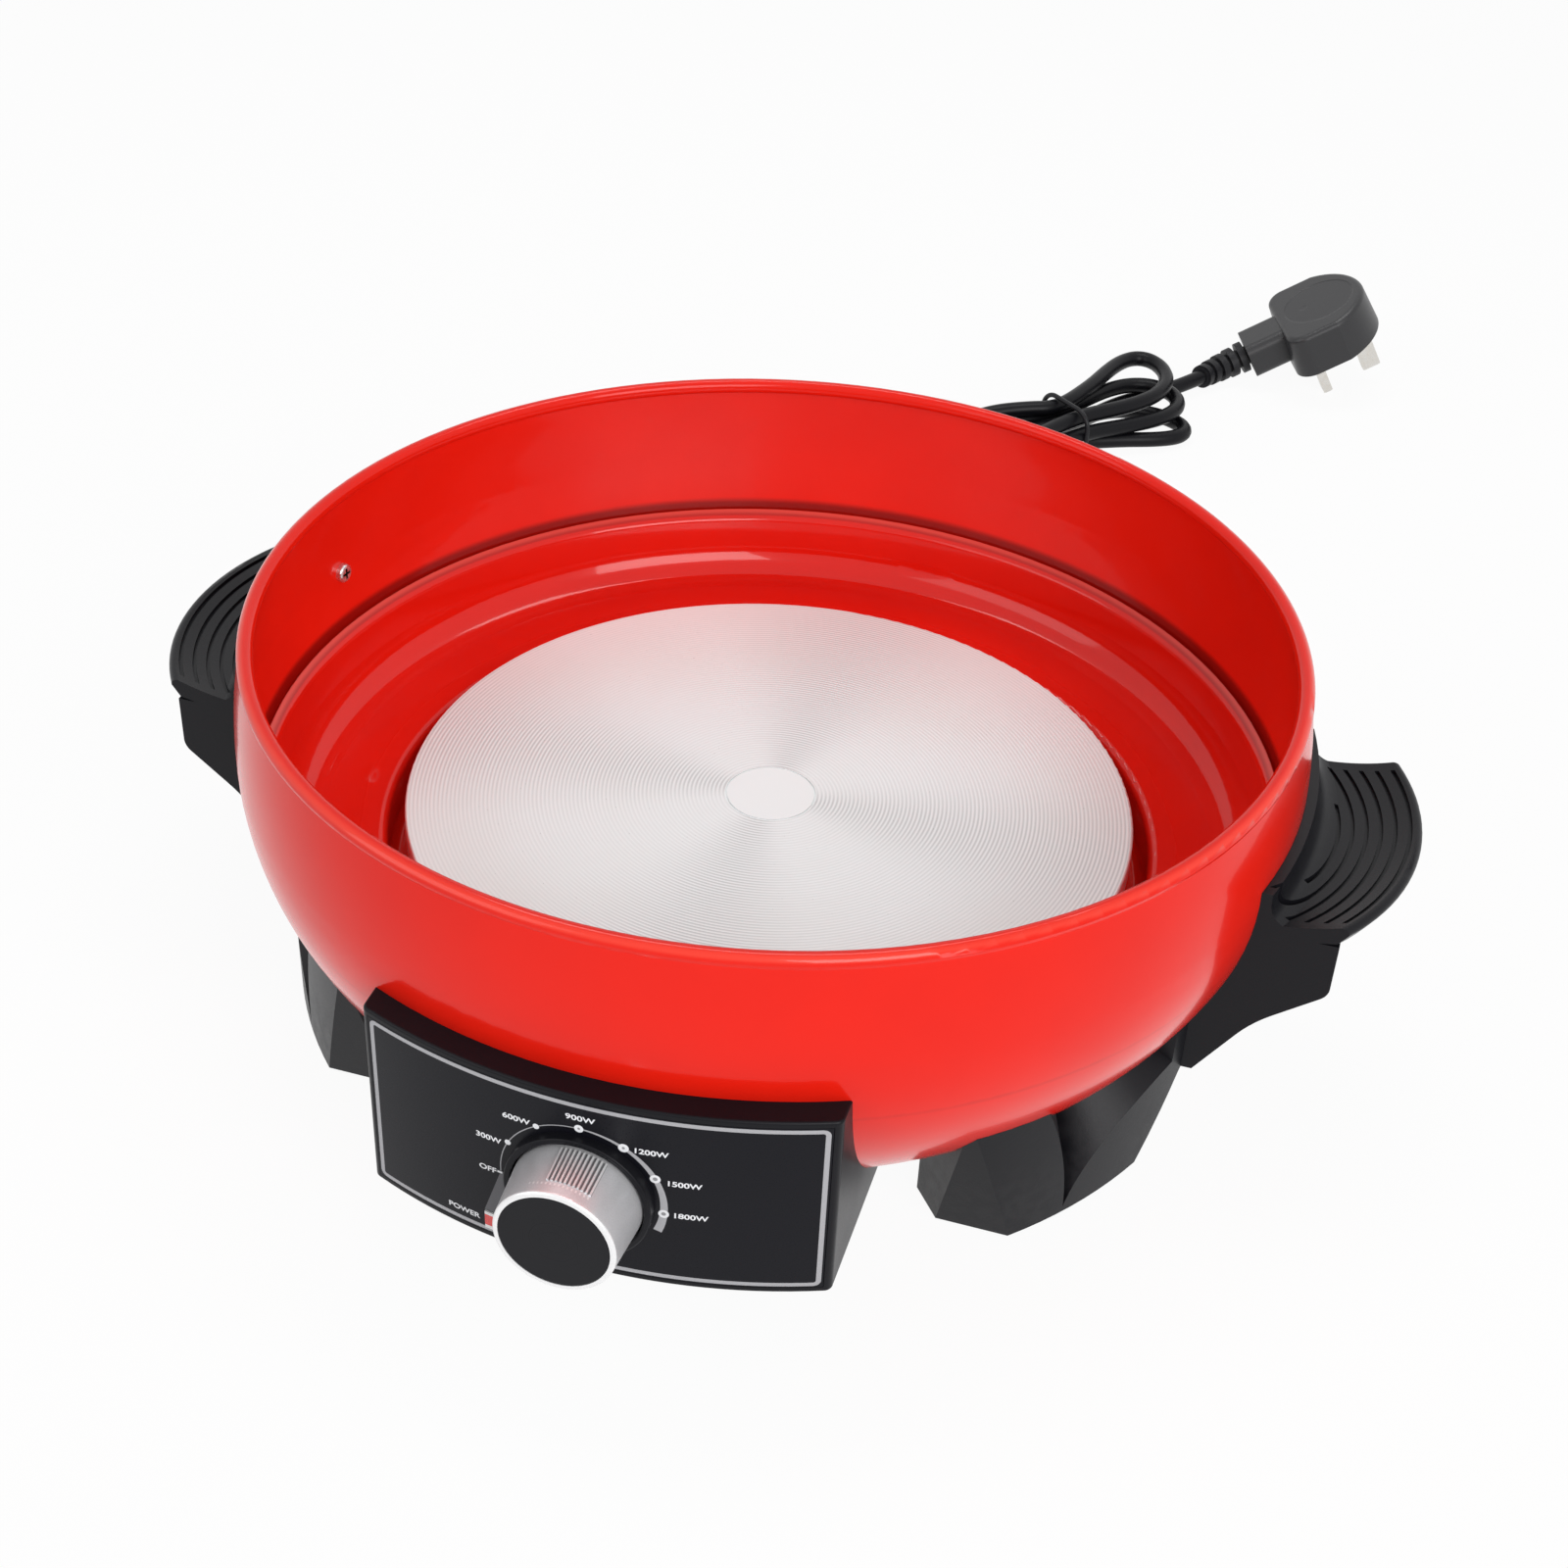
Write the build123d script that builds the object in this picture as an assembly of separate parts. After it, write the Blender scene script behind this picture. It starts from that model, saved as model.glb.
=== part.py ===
from build123d import *
import os
from math import asin, cos, degrees, radians, sin, sqrt, tan

# Base unit of an electric hot pot. Millimetres, +Z up. The Z axis runs through the
# centre of the heating plate, Z = 0 is the table, and the control panel faces -Y.

# ---------------------------------------------------------------- driving dimensions
# outer shell, pressed from sheet
rim_radius = 150.0
rim_height = 117.0
rim_bead = 2.3
belly_radius = 152.8
belly_height = 84.5
belly_arc = 82.0
shell_wall = 1.2
shell_underside = 14.0
shell_opening_radius = 96.0
shell_fit = 0.02

# inner dish with its ledge and plate well
dish_wall = 1.0
ledge_height = 67.5
ledge_edge_radius = 145.5
ledge_drop = 2.4
ledge_round = 2.2
dish_wall_draft = 3.2
dish_cove = 11.0
dish_floor_height = 46.0
well_radius = 113.0
well_lip_rise = 1.6
well_lip_round = 2.4
well_floor_height = 33.0
well_floor_round = 3.0
well_hole_radius = 34.0
ledge_skirt_depth = 5.0

# heating plate and what carries it
plate_gap = 5.4
plate_height = 54.7
plate_thickness = 9.0
plate_edge_round = 0.8
plate_disc_radius = 13.0
plate_disc_groove = 0.5
element_ring_radius = 72.0
element_tube_radius = 3.6
element_rib_width = 14.0
element_rib_depth = 4.0
element_gap = 36.0
element_elbow = 7.0
element_leg_end = 30.0
terminal_end = 19.5
bead_radius = 5.0
bead_height = 5.0
stud_circle_radius = 52.0
stud_radius = 2.0
stud_count = 3
stud_boss_radius = 7.0
spacer_radius = 4.0
nut_across_flats = 7.0
nut_height = 3.2
shield_height = 27.0
shield_radius = 84.0
shield_hole_radius = 18.0
shield_wall = 0.6
shield_lip = 3.0
cutout_radius = 8.0
cutout_height = 6.5
cutout_offset = 20.0
strap_wall = 0.8
strap_width = 8.0

# base cover
cover_radius = 108.5
cover_wall = 1.2
cover_dish = 2.2
cover_step_radius = 86.0
cover_slot_count = 18
cover_slot_circle = 62.0
cover_slot_length = 22.0
cover_slot_width = 3.4
base_screw_count = 4
base_screw_circle = 101.0

# handle mouldings with their feet
handle_arc_radius = 78.0
handle_reach = 185.5
grip_arc_y = 2.5
grip_front = -43.5
grip_rear = 38.5
grip_low_radius = 163.0
grip_low_height = 78.8
grip_dish_radius = 52.0
grip_wall = 4.4
upstand_reach = 155.6
upstand_height = 89.0
lip_depth = 5.5
lip_round = 2.0
bracket_reach = 168.8
bracket_corner = (168.8, 59.8)
bracket_bend = (150.5, 45.0)
bracket_foot = (137.0, 24.0)
bracket_round = 5.0
bracket_hollow = 40.0
groove_count = 6
groove_pitch = 3.8
groove_first = 3.4
groove_width = 1.1
groove_depth = 0.9
groove_margin = 3.3
short_groove_margin = 20.6
foot_inner_radius = 115.5
foot_outer_radius = 141.0
foot_start_angle = 38.5
foot_end_angle = 64.0
foot_nose_y = -99.7
foot_nose_lean = 12.5
foot_lift = 1.0
arch_height = 26.0
arch_top_half_width = 42.5
arch_round = 9.0
scoop_angle = 60.0
scoop_top = 60.0
scoop_taper = 0.42
scoop_depth = 22.0
scoop_spread = 1.1
scoop_left = (-33.0, 44.0)
scoop_left_bend = (-21.5, 16.0)
scoop_apex = (-19.6, 0.5)
scoop_right_bend = (-7.4, 19.0)
scoop_right = (24.0, 29.0)
pad_radius = 7.0
pad_depth = 2.5
pad_angle = 39.0

# control housing and what it holds
panel_radius = 159.5
housing_half_width = 62.6
housing_top = 74.0
housing_bottom = 15.0
housing_wall = 2.4
housing_round = 2.5
housing_back = 100.0
fascia_margin = 1.8
fascia_thickness = 1.6
fascia_gap = 0.15
knob_height = 42.0
bush_radius = 4.75
bush_gap = 0.1
bezel_radius = 19.4
bezel_width = 1.8
bezel_depth = 2.6
knob_base_radius = 17.2
knob_face_radius = 16.0
knob_length = 17.0
knob_gap = 0.8
knob_wall = 1.6
knob_web = 2.0
knob_rest_angle = 9.0
knob_cap_radius = 14.6
knob_cap_depth = 1.2
knob_cap_proud = 0.0
spring_wall = 0.4
knob_edge_round = 0.7
rib_count = 11
rib_pitch = 3.9
rib_width = 0.62
rib_rise = 0.45
rib_length = 10.5
rib_margin = 2.2
hub_radius = 6.2
shaft_radius = 3.0
shaft_flat = 1.5
shaft_clearance = 0.05
regulator_width = 34.0
regulator_height = 27.0
regulator_depth = 7.7
switch_depth = 11.0
switch_height = 8.0
tab_x = 8.0
panel_nut_flats = 14.0
panel_nut_height = 2.2
lens_x = -23.0
lens_width = 7.4
lens_bottom = 18.6
lens_height = 5.8
lens_proud = 0.4
lens_behind = 5.0
lens_gap = 0.1
lamp_radius = 2.6
lamp_length = 12.0
window_half_width = 19.0
window_bottom = 22.0
window_top = 38.0

# fasteners
screw_radius = 1.9
screw_head_radius = 3.0
screw_head_height = 2.0
screw_recess = 1.0
handle_screw_angle = 9.9
handle_screw_height = 84.7
lower_screw_angle = 11.0
lower_screw_height = 40.0
upper_screw_length = 3.8
lower_screw_length = 6.0
housing_screw_length = 9.0
housing_screw_angle = 17.0
housing_screw_height = 30.0
boss_radius = 4.2

# mains inlet, cord and plug
cord_diameter = 6.5
gland_height = 42.0
gland_length = 39.5
gland_root_radius = 7.6
gland_tip_radius = 5.4
gland_flange_radius = 9.4
gland_flange = 2.0
gland_ribs = 5
lead_radius = 1.1
block_width = 30.0
block_depth = 15.0
block_height = 10.0
block_y = 99.0
tail_height = 30.0
hank_x = 23.5
hank_y = 351.7
hank_direction = 52.0
hank_reach_out = 69.0
hank_reach_in = 83.0
hank_half_width = 26.0
hank_height = 20.4
hank_offset = 2.5
waist_half_width = 13.0
waist_share = 0.9
tie_radius = 1.0
tie_tail = 15.0
plug_x = 122.4
plug_y = 462.0
plug_direction = 20.3
plug_lean = 29.0
plug_length = 42.0
plug_width = 52.0
plug_depth = 19.0
plug_round = 2.5
plug_corner = 9.0
plug_nose_radius = 27.5
neck_length = 16.0
neck_width = 21.0
neck_depth = 16.0
sleeve_end_along = 90.7
sleeve_end_across = 11.8
sleeve_end_height = 5.9
sleeve_root_radius = 7.2
sleeve_tip_radius = 4.9
sleeve_ribs = 5
sleeve_height = 9.5
pin_chamfer = 0.8
line_pin = (6.35, 4.0, 17.7)
earth_pin = (4.0, 8.0, 22.7)
pin_spread = 11.1
fuse_width = 14.0
fuse_height = 8.0

# --------------------------------------------------------------------------- helpers
os.makedirs("parts", exist_ok=True)


def save(node, shape):
    export_step(shape, f"parts/{node}.step")


def turned(points):
    """Solid of revolution about Z from a closed (radius, height) outline."""
    face = make_face(Polyline(*[(r, 0, z) for r, z in points], close=True))
    return revolve(face, Axis.Z, 360)


def turned_wire(edges):
    return revolve(make_face(edges), Axis.Z, 360)


def disc(radius, bottom, top):
    return Pos(0, 0, bottom) * Cylinder(radius, top - bottom, align=(Align.CENTER, Align.CENTER, Align.MIN))


def ring(inner, outer, bottom, top):
    return disc(outer, bottom, top) - disc(inner, bottom - 1, top + 1)


def block(x, y, z):
    """Box from three (low, high) pairs."""
    low = (x[0], y[0], z[0])
    size = (x[1] - x[0], y[1] - y[0], z[1] - z[0])
    return Pos(*low) * Box(*size, align=(Align.MIN, Align.MIN, Align.MIN))


def prism_wedge(half_angle, reach, bottom, top):
    """Upright wedge between two radial planes, centred on +X."""
    side = reach * tan(radians(half_angle))
    face = make_face(Polyline((0, 0), (reach, -side), (reach, side), close=True))
    return Pos(0, 0, bottom) * extrude(face, top - bottom)


def radial(angle, radius, height):
    """Location at an angle from the front (-Y), counted towards +X, with X pointing outwards."""
    return Rot(0, 0, angle - 90) * Pos(radius, 0, height)


def belly(height):
    """Outer radius of the shell at a height."""
    arc = belly_arc if height < belly_height else upper_arc
    rise = height - belly_height
    return belly_radius - arc + sqrt(arc * arc - rise * rise)


def pan_screw(length):
    """Cross-head screw along -X from a head that stands on the plane x = 0."""
    head = Rot(0, 90, 0) * Cylinder(screw_head_radius, screw_head_height,
                                    align=(Align.CENTER, Align.CENTER, Align.MIN))
    head = fillet(head.edges().group_by(Axis.X)[-1], screw_head_height * 0.45)
    shank = Rot(0, -90, 0) * Cylinder(screw_radius, length, align=(Align.CENTER, Align.CENTER, Align.MIN))
    depth = (screw_head_height - screw_recess, screw_head_height + 1)
    arm = screw_head_radius * 0.6
    slot = block(depth, (-arm, arm), (-0.35, 0.35)) + block(depth, (-0.35, 0.35), (-arm, arm))
    return head + shank - slot


def hexagon_nut(flats, height, hole):
    nut = extrude(RegularPolygon(flats / 2, 6, major_radius=False), height)
    return nut - Cylinder(hole, 3 * height)


def bent_tube(points, radius):
    """Round tube on straight runs joined by the largest tangent arcs the runs allow."""
    points = [Vector(*p) for p in points]
    if len(points) == 2:
        path = Line(points[0], points[1])
    else:
        radii = []
        for before, here, after in zip(points, points[1:], points[2:]):
            first, second = here - before, after - here
            turn = radians(first.get_angle(second))
            radii.append(0.45 * min(first.length, second.length) / tan(turn / 2))
        path = FilletPolyline(*points, radius=radii)
    start = Plane(path @ 0, z_dir=path % 0)
    return sweep(start * Circle(radius), path=path)


# ----------------------------------------------------------------------- outer shell
neck_radius = rim_radius - 0.6
neck_height = rim_height - rim_bead
upper_arc = ((belly_radius - neck_radius) ** 2 + (neck_height - belly_height) ** 2) / (
    2 * (belly_radius - neck_radius))


def shell_form(inset, bottom, top):
    """Solid inside of the shell's outer curve, moved inwards by an inset."""
    outline = [
        Line((0, 0, bottom), (belly(bottom) - inset, 0, bottom)),
        ThreePointArc((belly(bottom) - inset, 0, bottom),
                      (belly((bottom + belly_height) / 2) - inset, 0, (bottom + belly_height) / 2),
                      (belly_radius - inset, 0, belly_height)),
        ThreePointArc((belly_radius - inset, 0, belly_height),
                      (belly((belly_height + top) / 2) - inset, 0, (belly_height + top) / 2),
                      (belly(top) - inset, 0, top)),
        Line((belly(top) - inset, 0, top), (0, 0, top)),
        Line((0, 0, top), (0, 0, bottom)),
    ]
    return turned_wire(outline)


skin = shell_form(0, shell_underside, neck_height)
skin -= shell_form(shell_wall, shell_underside + shell_wall, neck_height)
skin -= disc(shell_opening_radius, 0, shell_underside + 2 * shell_wall)
bead_centre = neck_radius - shell_wall / 2 - rim_bead * 0.45
bead = revolve(Plane.XZ * Pos(bead_centre, rim_height - rim_bead) * Circle(rim_bead), Axis.Z, 360)
outer_shell = skin + bead

# openings for the screws, the control leads, the cord gland and the base screws
def shell_point(angle, height):
    """Location on the shell's outer face, with X square to it and outwards."""
    slope = degrees(asin((belly_height - height) / belly_arc)) if height < belly_height else 0
    return radial(angle, belly(height), height) * Rot(0, slope, 0)


handle_screw_places = [
    shell_point(90 + handle_screw_angle, handle_screw_height),
    shell_point(90 - lower_screw_angle, lower_screw_height),
    shell_point(90 + lower_screw_angle, lower_screw_height),
]
housing_screw_places = [shell_point(side * housing_screw_angle, housing_screw_height) for side in (-1, 1)]
for place in handle_screw_places + housing_screw_places:
    hole = place * Rot(0, 90, 0) * Cylinder(screw_radius + 0.2, 16)
    outer_shell -= hole
    if place in handle_screw_places:
        outer_shell -= mirror(hole, about=Plane.YZ)
outer_shell -= block((-window_half_width, window_half_width), (-panel_radius, -housing_back),
                     (window_bottom, window_top))
gland_slope = degrees(asin((belly_height - gland_height) / belly_arc))
gland_place = shell_point(180, gland_height) * Rot(0, 90, 0)
outer_shell -= gland_place * Cylinder(gland_root_radius, 14)
base_screw_angles = [45 + i * 360 / base_screw_count for i in range(base_screw_count)]
for angle in base_screw_angles:
    outer_shell -= radial(angle, base_screw_circle, shell_underside) * Cylinder(screw_radius, 8)
save("outer_shell", outer_shell)

# ------------------------------------------------------------------------ inner dish
ledge_radius = belly(ledge_height) - shell_wall - 0.1
ledge_edge_height = ledge_height - ledge_drop
corners = [
    (ledge_radius - 1.2, ledge_height),
    (ledge_edge_radius, ledge_edge_height),
    (ledge_edge_radius - dish_wall_draft, dish_floor_height),
    (well_radius, dish_floor_height + well_lip_rise),
    (well_radius, well_floor_height),
    (well_hole_radius, well_floor_height),
]
dish_line = FilletPolyline(*corners, radius=[ledge_round, dish_cove, well_lip_round, well_floor_round])
dish_section = make_face(offset(dish_line, amount=dish_wall, side=Side.LEFT))
inner_dish = revolve(Plane.XZ * dish_section, Axis.Z, 360)
# the rim of the ledge turns down and wedges in the shell as it narrows
skirt_end = ledge_height - ledge_skirt_depth
seat_radius = belly(skirt_end) - shell_wall - 0.02
inner_dish += turned([
    (ledge_radius - 1.3, ledge_height), (ledge_radius - 0.9, ledge_height - 0.3),
    (ledge_radius - 0.35, ledge_height - 1.1), (seat_radius, skirt_end), (seat_radius - dish_wall, skirt_end),
    (ledge_radius - 1.3, ledge_height - dish_wall)])
# holes for the studs that carry the plate and a slot for the element's cold ends
stud_angles = [60 + i * 360 / stud_count for i in range(stud_count)]
for angle in stud_angles:
    inner_dish -= radial(angle, stud_circle_radius, well_floor_height) * Cylinder(stud_radius + 0.2, 6)
gap_turn = radians(element_gap / 2)
terminal_x = element_ring_radius * sin(gap_turn) - element_elbow * cos(gap_turn)
terminal_y = -element_ring_radius * cos(gap_turn) - element_elbow * sin(gap_turn)
terminal_slot = Pos(0, terminal_y, 0) * extrude(
    SlotCenterToCenter(2 * terminal_x, 2 * bead_radius + 4), well_floor_height + 5)
inner_dish -= terminal_slot
save("inner_dish", inner_dish)

# --------------------------------------------------------------------- heating plate
plate_radius = well_radius - plate_gap
plate_underside = plate_height - plate_thickness
element_height = plate_underside - element_rib_depth
plate = disc(plate_radius, plate_underside, plate_height)
plate = fillet(plate.edges(), plate_edge_round)
plate += ring(element_ring_radius - element_rib_width / 2, element_ring_radius + element_rib_width / 2,
              element_height, plate_underside)
for angle in stud_angles:
    plate += radial(angle, stud_circle_radius, element_height + element_rib_depth / 2) * Cylinder(
        stud_boss_radius, element_rib_depth)
stud_top = plate_underside + element_rib_depth
for angle in stud_angles:
    plate -= radial(angle, stud_circle_radius, (element_height + stud_top) / 2) * Cylinder(
        stud_radius, stud_top - element_height)
plate -= Pos(0, 0, element_height) * Torus(element_ring_radius, element_tube_radius)
plate -= ring(plate_disc_radius, plate_disc_radius + plate_disc_groove,
              plate_height - plate_disc_groove, plate_height + 1)
save("heating_plate", plate)

# tubular element, cast into the rib, with both cold ends turned down through the well
start, end = -90 + element_gap / 2, 270 - element_gap / 2
ring_arc = CenterArc((0, 0, element_height), element_ring_radius, start, end - start)


def cold_end(side, outwards):
    top = Vector(side * element_ring_radius * sin(gap_turn), -element_ring_radius * cos(gap_turn), element_height)
    turn = Vector(side * terminal_x, terminal_y, element_height - element_elbow)
    elbow = TangentArc(top, turn, tangent=Vector(-side * cos(gap_turn), -sin(gap_turn), 0))
    leg = Line(turn, (turn.X, turn.Y, element_leg_end))
    return [elbow, leg] if outwards else [leg, elbow]


element_path = Wire(cold_end(1, False) + [ring_arc] + cold_end(-1, True))
leg_start = Pos(terminal_x, terminal_y, element_leg_end)
heating_element = sweep(leg_start * Circle(element_tube_radius), path=element_path)
save("heating_element", heating_element)

beads, pins = Part(), Part()
for side in (-1, 1):
    foot = Pos(side * terminal_x, terminal_y, element_leg_end)
    bead = foot * Cylinder(bead_radius, bead_height, align=(Align.CENTER, Align.CENTER, Align.MAX))
    bead = fillet(bead.edges(), 0.8)
    pin = foot * Cylinder(1.4, element_leg_end - terminal_end, align=(Align.CENTER, Align.CENTER, Align.MAX))
    beads += bead - pin
    pins += pin
save("element_beads", beads)
save("element_pins", pins)

# studs, spacers and nuts that carry the plate on the well floor
stud_bottom = shield_height - nut_height - 1
studs, plate_spacers, shield_spacers, nuts = Part(), Part(), Part(), Part()
for angle in stud_angles:
    seat = radial(angle, stud_circle_radius, 0)
    bore = seat * disc(stud_radius + 0.05, 0, plate_height)
    studs += seat * disc(stud_radius, stud_bottom, stud_top)
    plate_spacers += seat * disc(spacer_radius, well_floor_height, element_height) - bore
    shield_spacers += seat * disc(spacer_radius, shield_height + shield_wall,
                                  well_floor_height - dish_wall) - bore
    nuts += seat * Pos(0, 0, shield_height - nut_height) * hexagon_nut(
        nut_across_flats, nut_height, stud_radius + 0.05)
save("plate_studs", studs)
save("plate_spacers", plate_spacers)
save("shield_spacers", shield_spacers)
save("plate_nuts", nuts)

# bright heat shield under the well, with a turned-down lip
shield = turned([
    (shield_hole_radius, shield_height), (shield_hole_radius, shield_height + shield_wall),
    (shield_radius, shield_height + shield_wall), (shield_radius, shield_height - shield_lip),
    (shield_radius - shield_wall, shield_height - shield_lip), (shield_radius - shield_wall, shield_height)])
for angle in stud_angles:
    shield -= radial(angle, stud_circle_radius, shield_height) * Cylinder(stud_radius + 0.2, 4)
shield -= terminal_slot
save("heat_shield", shield)

# thermal cut-out pressed against the plate by a sprung strap
cutout = Pos(0, cutout_offset, plate_underside - cutout_height) * Cylinder(
    cutout_radius, cutout_height, align=(Align.CENTER, Align.CENTER, Align.MIN))
cutout = fillet(cutout.edges().group_by(Axis.Z)[0], 1.2)
strap_reach = cutout_radius + 9
strap_high = plate_underside - strap_wall / 2
strap_low = strap_high - cutout_height
strap_line = FilletPolyline(
    (-strap_reach, strap_high), (-cutout_radius - 3, strap_high), (-cutout_radius - 1, strap_low),
    (cutout_radius + 1, strap_low), (cutout_radius + 3, strap_high), (strap_reach, strap_high), radius=0.9)
strap_face = make_face(offset(strap_line, amount=strap_wall / 2, side=Side.BOTH))
strap = Pos(0, cutout_offset, 0) * extrude(Plane.XZ * strap_face, strap_width / 2, both=True)
save("thermal_cutout", cutout)
save("cutout_strap", strap)

# ------------------------------------------------------------------------ base cover
cover_top = shell_underside
cover_low = cover_top - cover_dish
cover = turned([
    (0, cover_low), (cover_step_radius - 2, cover_low), (cover_step_radius, cover_top),
    (cover_radius, cover_top), (cover_radius, cover_top - cover_wall),
    (cover_step_radius + cover_wall * 0.6, cover_top - cover_wall),
    (cover_step_radius - 2 + cover_wall * 0.6, cover_low - cover_wall), (0, cover_low - cover_wall)])
slot = Pos(cover_slot_circle, 0, 0) * extrude(
    SlotOverall(cover_slot_length, cover_slot_width), cover_top + 1)
for i in range(cover_slot_count):
    cover -= Rot(0, 0, i * 360 / cover_slot_count) * slot
for angle in base_screw_angles:
    cover -= radial(angle, base_screw_circle, cover_top) * Cylinder(screw_radius + 0.2, 4 * cover_wall)
save("base_cover", cover)

base_screws = Part()
for angle in base_screw_angles:
    base_screws += radial(angle, base_screw_circle, cover_top - cover_wall) * Rot(0, 90, 0) * pan_screw(7)
save("base_screws", base_screws)

# -------------------------------------------------------------- handles with their feet
handle_axis_x = handle_reach - handle_arc_radius


def grip_top(x):
    """Height of the dished upper face of the grip at a distance from the Z axis."""
    return grip_low_height + grip_dish_radius - sqrt(grip_dish_radius ** 2 - (x - grip_low_radius) ** 2)


def handle_turned(face):
    axis = Axis((handle_axis_x, 0, 0), (0, 0, 1))
    return Pos(0, grip_arc_y, 0) * revolve(Plane.XZ * face, axis, 360)


def grip_slab(margin, top):
    """Upright slab between the two flat ends of the grip, less a margin at each."""
    return block((0, 2 * handle_reach), (grip_front + margin, grip_rear - margin), (0, top))


# the grip is a dished plate with a curved edge, thick enough to close the hand round
edge_x = handle_reach - lip_round
edge_height = grip_top(edge_x)
lip_bottom = edge_height - lip_depth
mid_x = (grip_low_radius + edge_x) / 2
grip_section = make_face([
    Line((handle_axis_x, grip_low_height), (grip_low_radius, grip_low_height)),
    ThreePointArc((grip_low_radius, grip_low_height), (mid_x, grip_top(mid_x)), (edge_x, edge_height)),
    TangentArc((edge_x, edge_height), (handle_reach, edge_height - lip_round), tangent=(1, 0.2)),
    Line((handle_reach, edge_height - lip_round), (edge_x, lip_bottom)),
    ThreePointArc((edge_x, lip_bottom), (mid_x, grip_top(mid_x) - grip_wall),
                  (grip_low_radius, grip_low_height - grip_wall)),
    Line((grip_low_radius, grip_low_height - grip_wall), (handle_axis_x, grip_low_height - grip_wall)),
    Line((handle_axis_x, grip_low_height - grip_wall), (handle_axis_x, grip_low_height)),
])
grip_plate = handle_turned(grip_section)
# the bracket below it has flat ends and slopes back in a hollow curve to the feet
bracket_top = grip_low_height - grip_wall / 2
bracket_line = FilletPolyline(
    (bracket_reach, bracket_top), bracket_corner, bracket_bend, bracket_foot,
    radius=[bracket_round, bracket_hollow])
bracket_section = make_face([
    bracket_line,
    Polyline(bracket_foot, (foot_inner_radius, bracket_foot[1]), (foot_inner_radius, bracket_top),
             (bracket_reach, bracket_top)),
])
bracket = Pos(0, grip_rear, 0) * extrude(Plane.XZ * bracket_section, grip_rear - grip_front)
# the grip rises in a hollow curve to a wall against the shell, which takes the upper screw
curve = grip_low_radius - upstand_reach
bend = (grip_low_radius - curve * cos(radians(45)), 0, grip_low_height + curve * (1 - sin(radians(45))))
upstand = turned_wire([
    Polyline((grip_low_radius, 0, grip_low_height), (grip_low_radius, 0, bracket_top),
             (rim_radius - shell_wall, 0, bracket_top), (rim_radius - shell_wall, 0, upstand_height),
             (upstand_reach, 0, upstand_height), (upstand_reach, 0, grip_low_height + curve)),
    ThreePointArc((upstand_reach, 0, grip_low_height + curve), bend, (grip_low_radius, 0, grip_low_height)),
])
shell_space = shell_form(-shell_fit, shell_underside, neck_height)
grooves = Part()
for i in range(groove_count):
    x = handle_reach - groove_first - i * groove_pitch
    groove = Pos(handle_axis_x, grip_arc_y, 0) * Rot(0, 0, 180) * ring(
        x - groove_width / 2 - handle_axis_x, x + groove_width / 2 - handle_axis_x,
        grip_top(x) - groove_depth, rim_height)
    margin = short_groove_margin if i == groove_count - 1 else groove_margin
    grooves += groove & grip_slab(margin, rim_height + 1)
grip = bracket - shell_space
for piece in (grip_plate, upstand):
    piece = (piece & grip_slab(0, rim_height)) - shell_space
    for groove in grooves.solids():
        piece -= groove
    grip += piece

# ring segment that carries the feet, with the arch between them
legs = ring(foot_inner_radius, foot_outer_radius, foot_lift, belly_height)
legs &= prism_wedge(90 - foot_start_angle, 4 * foot_outer_radius, 0, rim_height)
legs -= shell_space
handle = grip + legs
arch_foot = foot_outer_radius * cos(radians(foot_end_angle))
arch_line = FilletPolyline(
    (-arch_foot, 0), (-arch_top_half_width, arch_height), (arch_top_half_width, arch_height),
    (arch_foot, 0), radius=arch_round)
arch = extrude(Plane.YZ * make_face([arch_line, Line((arch_foot, 0), (-arch_foot, 0))]), 2 * handle_reach)
handle -= arch
nose = Pos(0, foot_nose_y, 0) * Rot(foot_nose_lean, 0, 0) * Box(
    2 * handle_reach, handle_reach, 2 * handle_reach, align=(Align.CENTER, Align.MAX, Align.CENTER))


def scoop_face(radius, share):
    """Outline of the scoop in the flank of a foot, upright at a radius, drawn to a scale."""
    corners = [scoop_apex, scoop_left_bend, scoop_left, (scoop_left[0], scoop_top),
               (scoop_right[0], scoop_top), scoop_right, scoop_right_bend]
    apex, left_bend, left, high_left, high_right, right, right_bend = [
        (x * share, scoop_top + (z - scoop_top) * share) for x, z in corners]
    outline = [
        ThreePointArc(apex, left_bend, left),
        Polyline(left, high_left, high_right, right),
        ThreePointArc(right, right_bend, apex),
    ]
    return radial(scoop_angle, radius, 0) * (Plane.YZ * make_face(outline))


scoop = loft([scoop_face(foot_outer_radius + 4, scoop_spread),
              scoop_face(foot_outer_radius - scoop_depth, scoop_taper)])
pads = Part()
for cut in (nose, scoop):
    handle -= cut
    handle -= mirror(cut, about=Plane.XZ)
for angle in (90 - pad_angle, 90 + pad_angle):
    pad = radial(angle, (foot_inner_radius + foot_outer_radius) / 2, 0) * disc(pad_radius, 0, pad_depth)
    handle -= pad
    pads += pad
handle_screws = Part()
for place in handle_screw_places:
    length = upper_screw_length if place is handle_screw_places[0] else lower_screw_length
    screw = place * Pos(-shell_wall - 0.04, 0, 0) * Rot(0, 0, 180) * pan_screw(length)
    handle -= screw
    handle_screws += screw
save("right_handle", handle)
save("left_handle", mirror(handle, about=Plane.YZ))
save("foot_pads", pads + mirror(pads, about=Plane.YZ))
save("handle_screws", handle_screws + mirror(handle_screws, about=Plane.YZ))

# ------------------------------------------------------------------- control housing
face_radius = panel_radius - fascia_thickness
inner_radius = panel_radius - housing_wall


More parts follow.
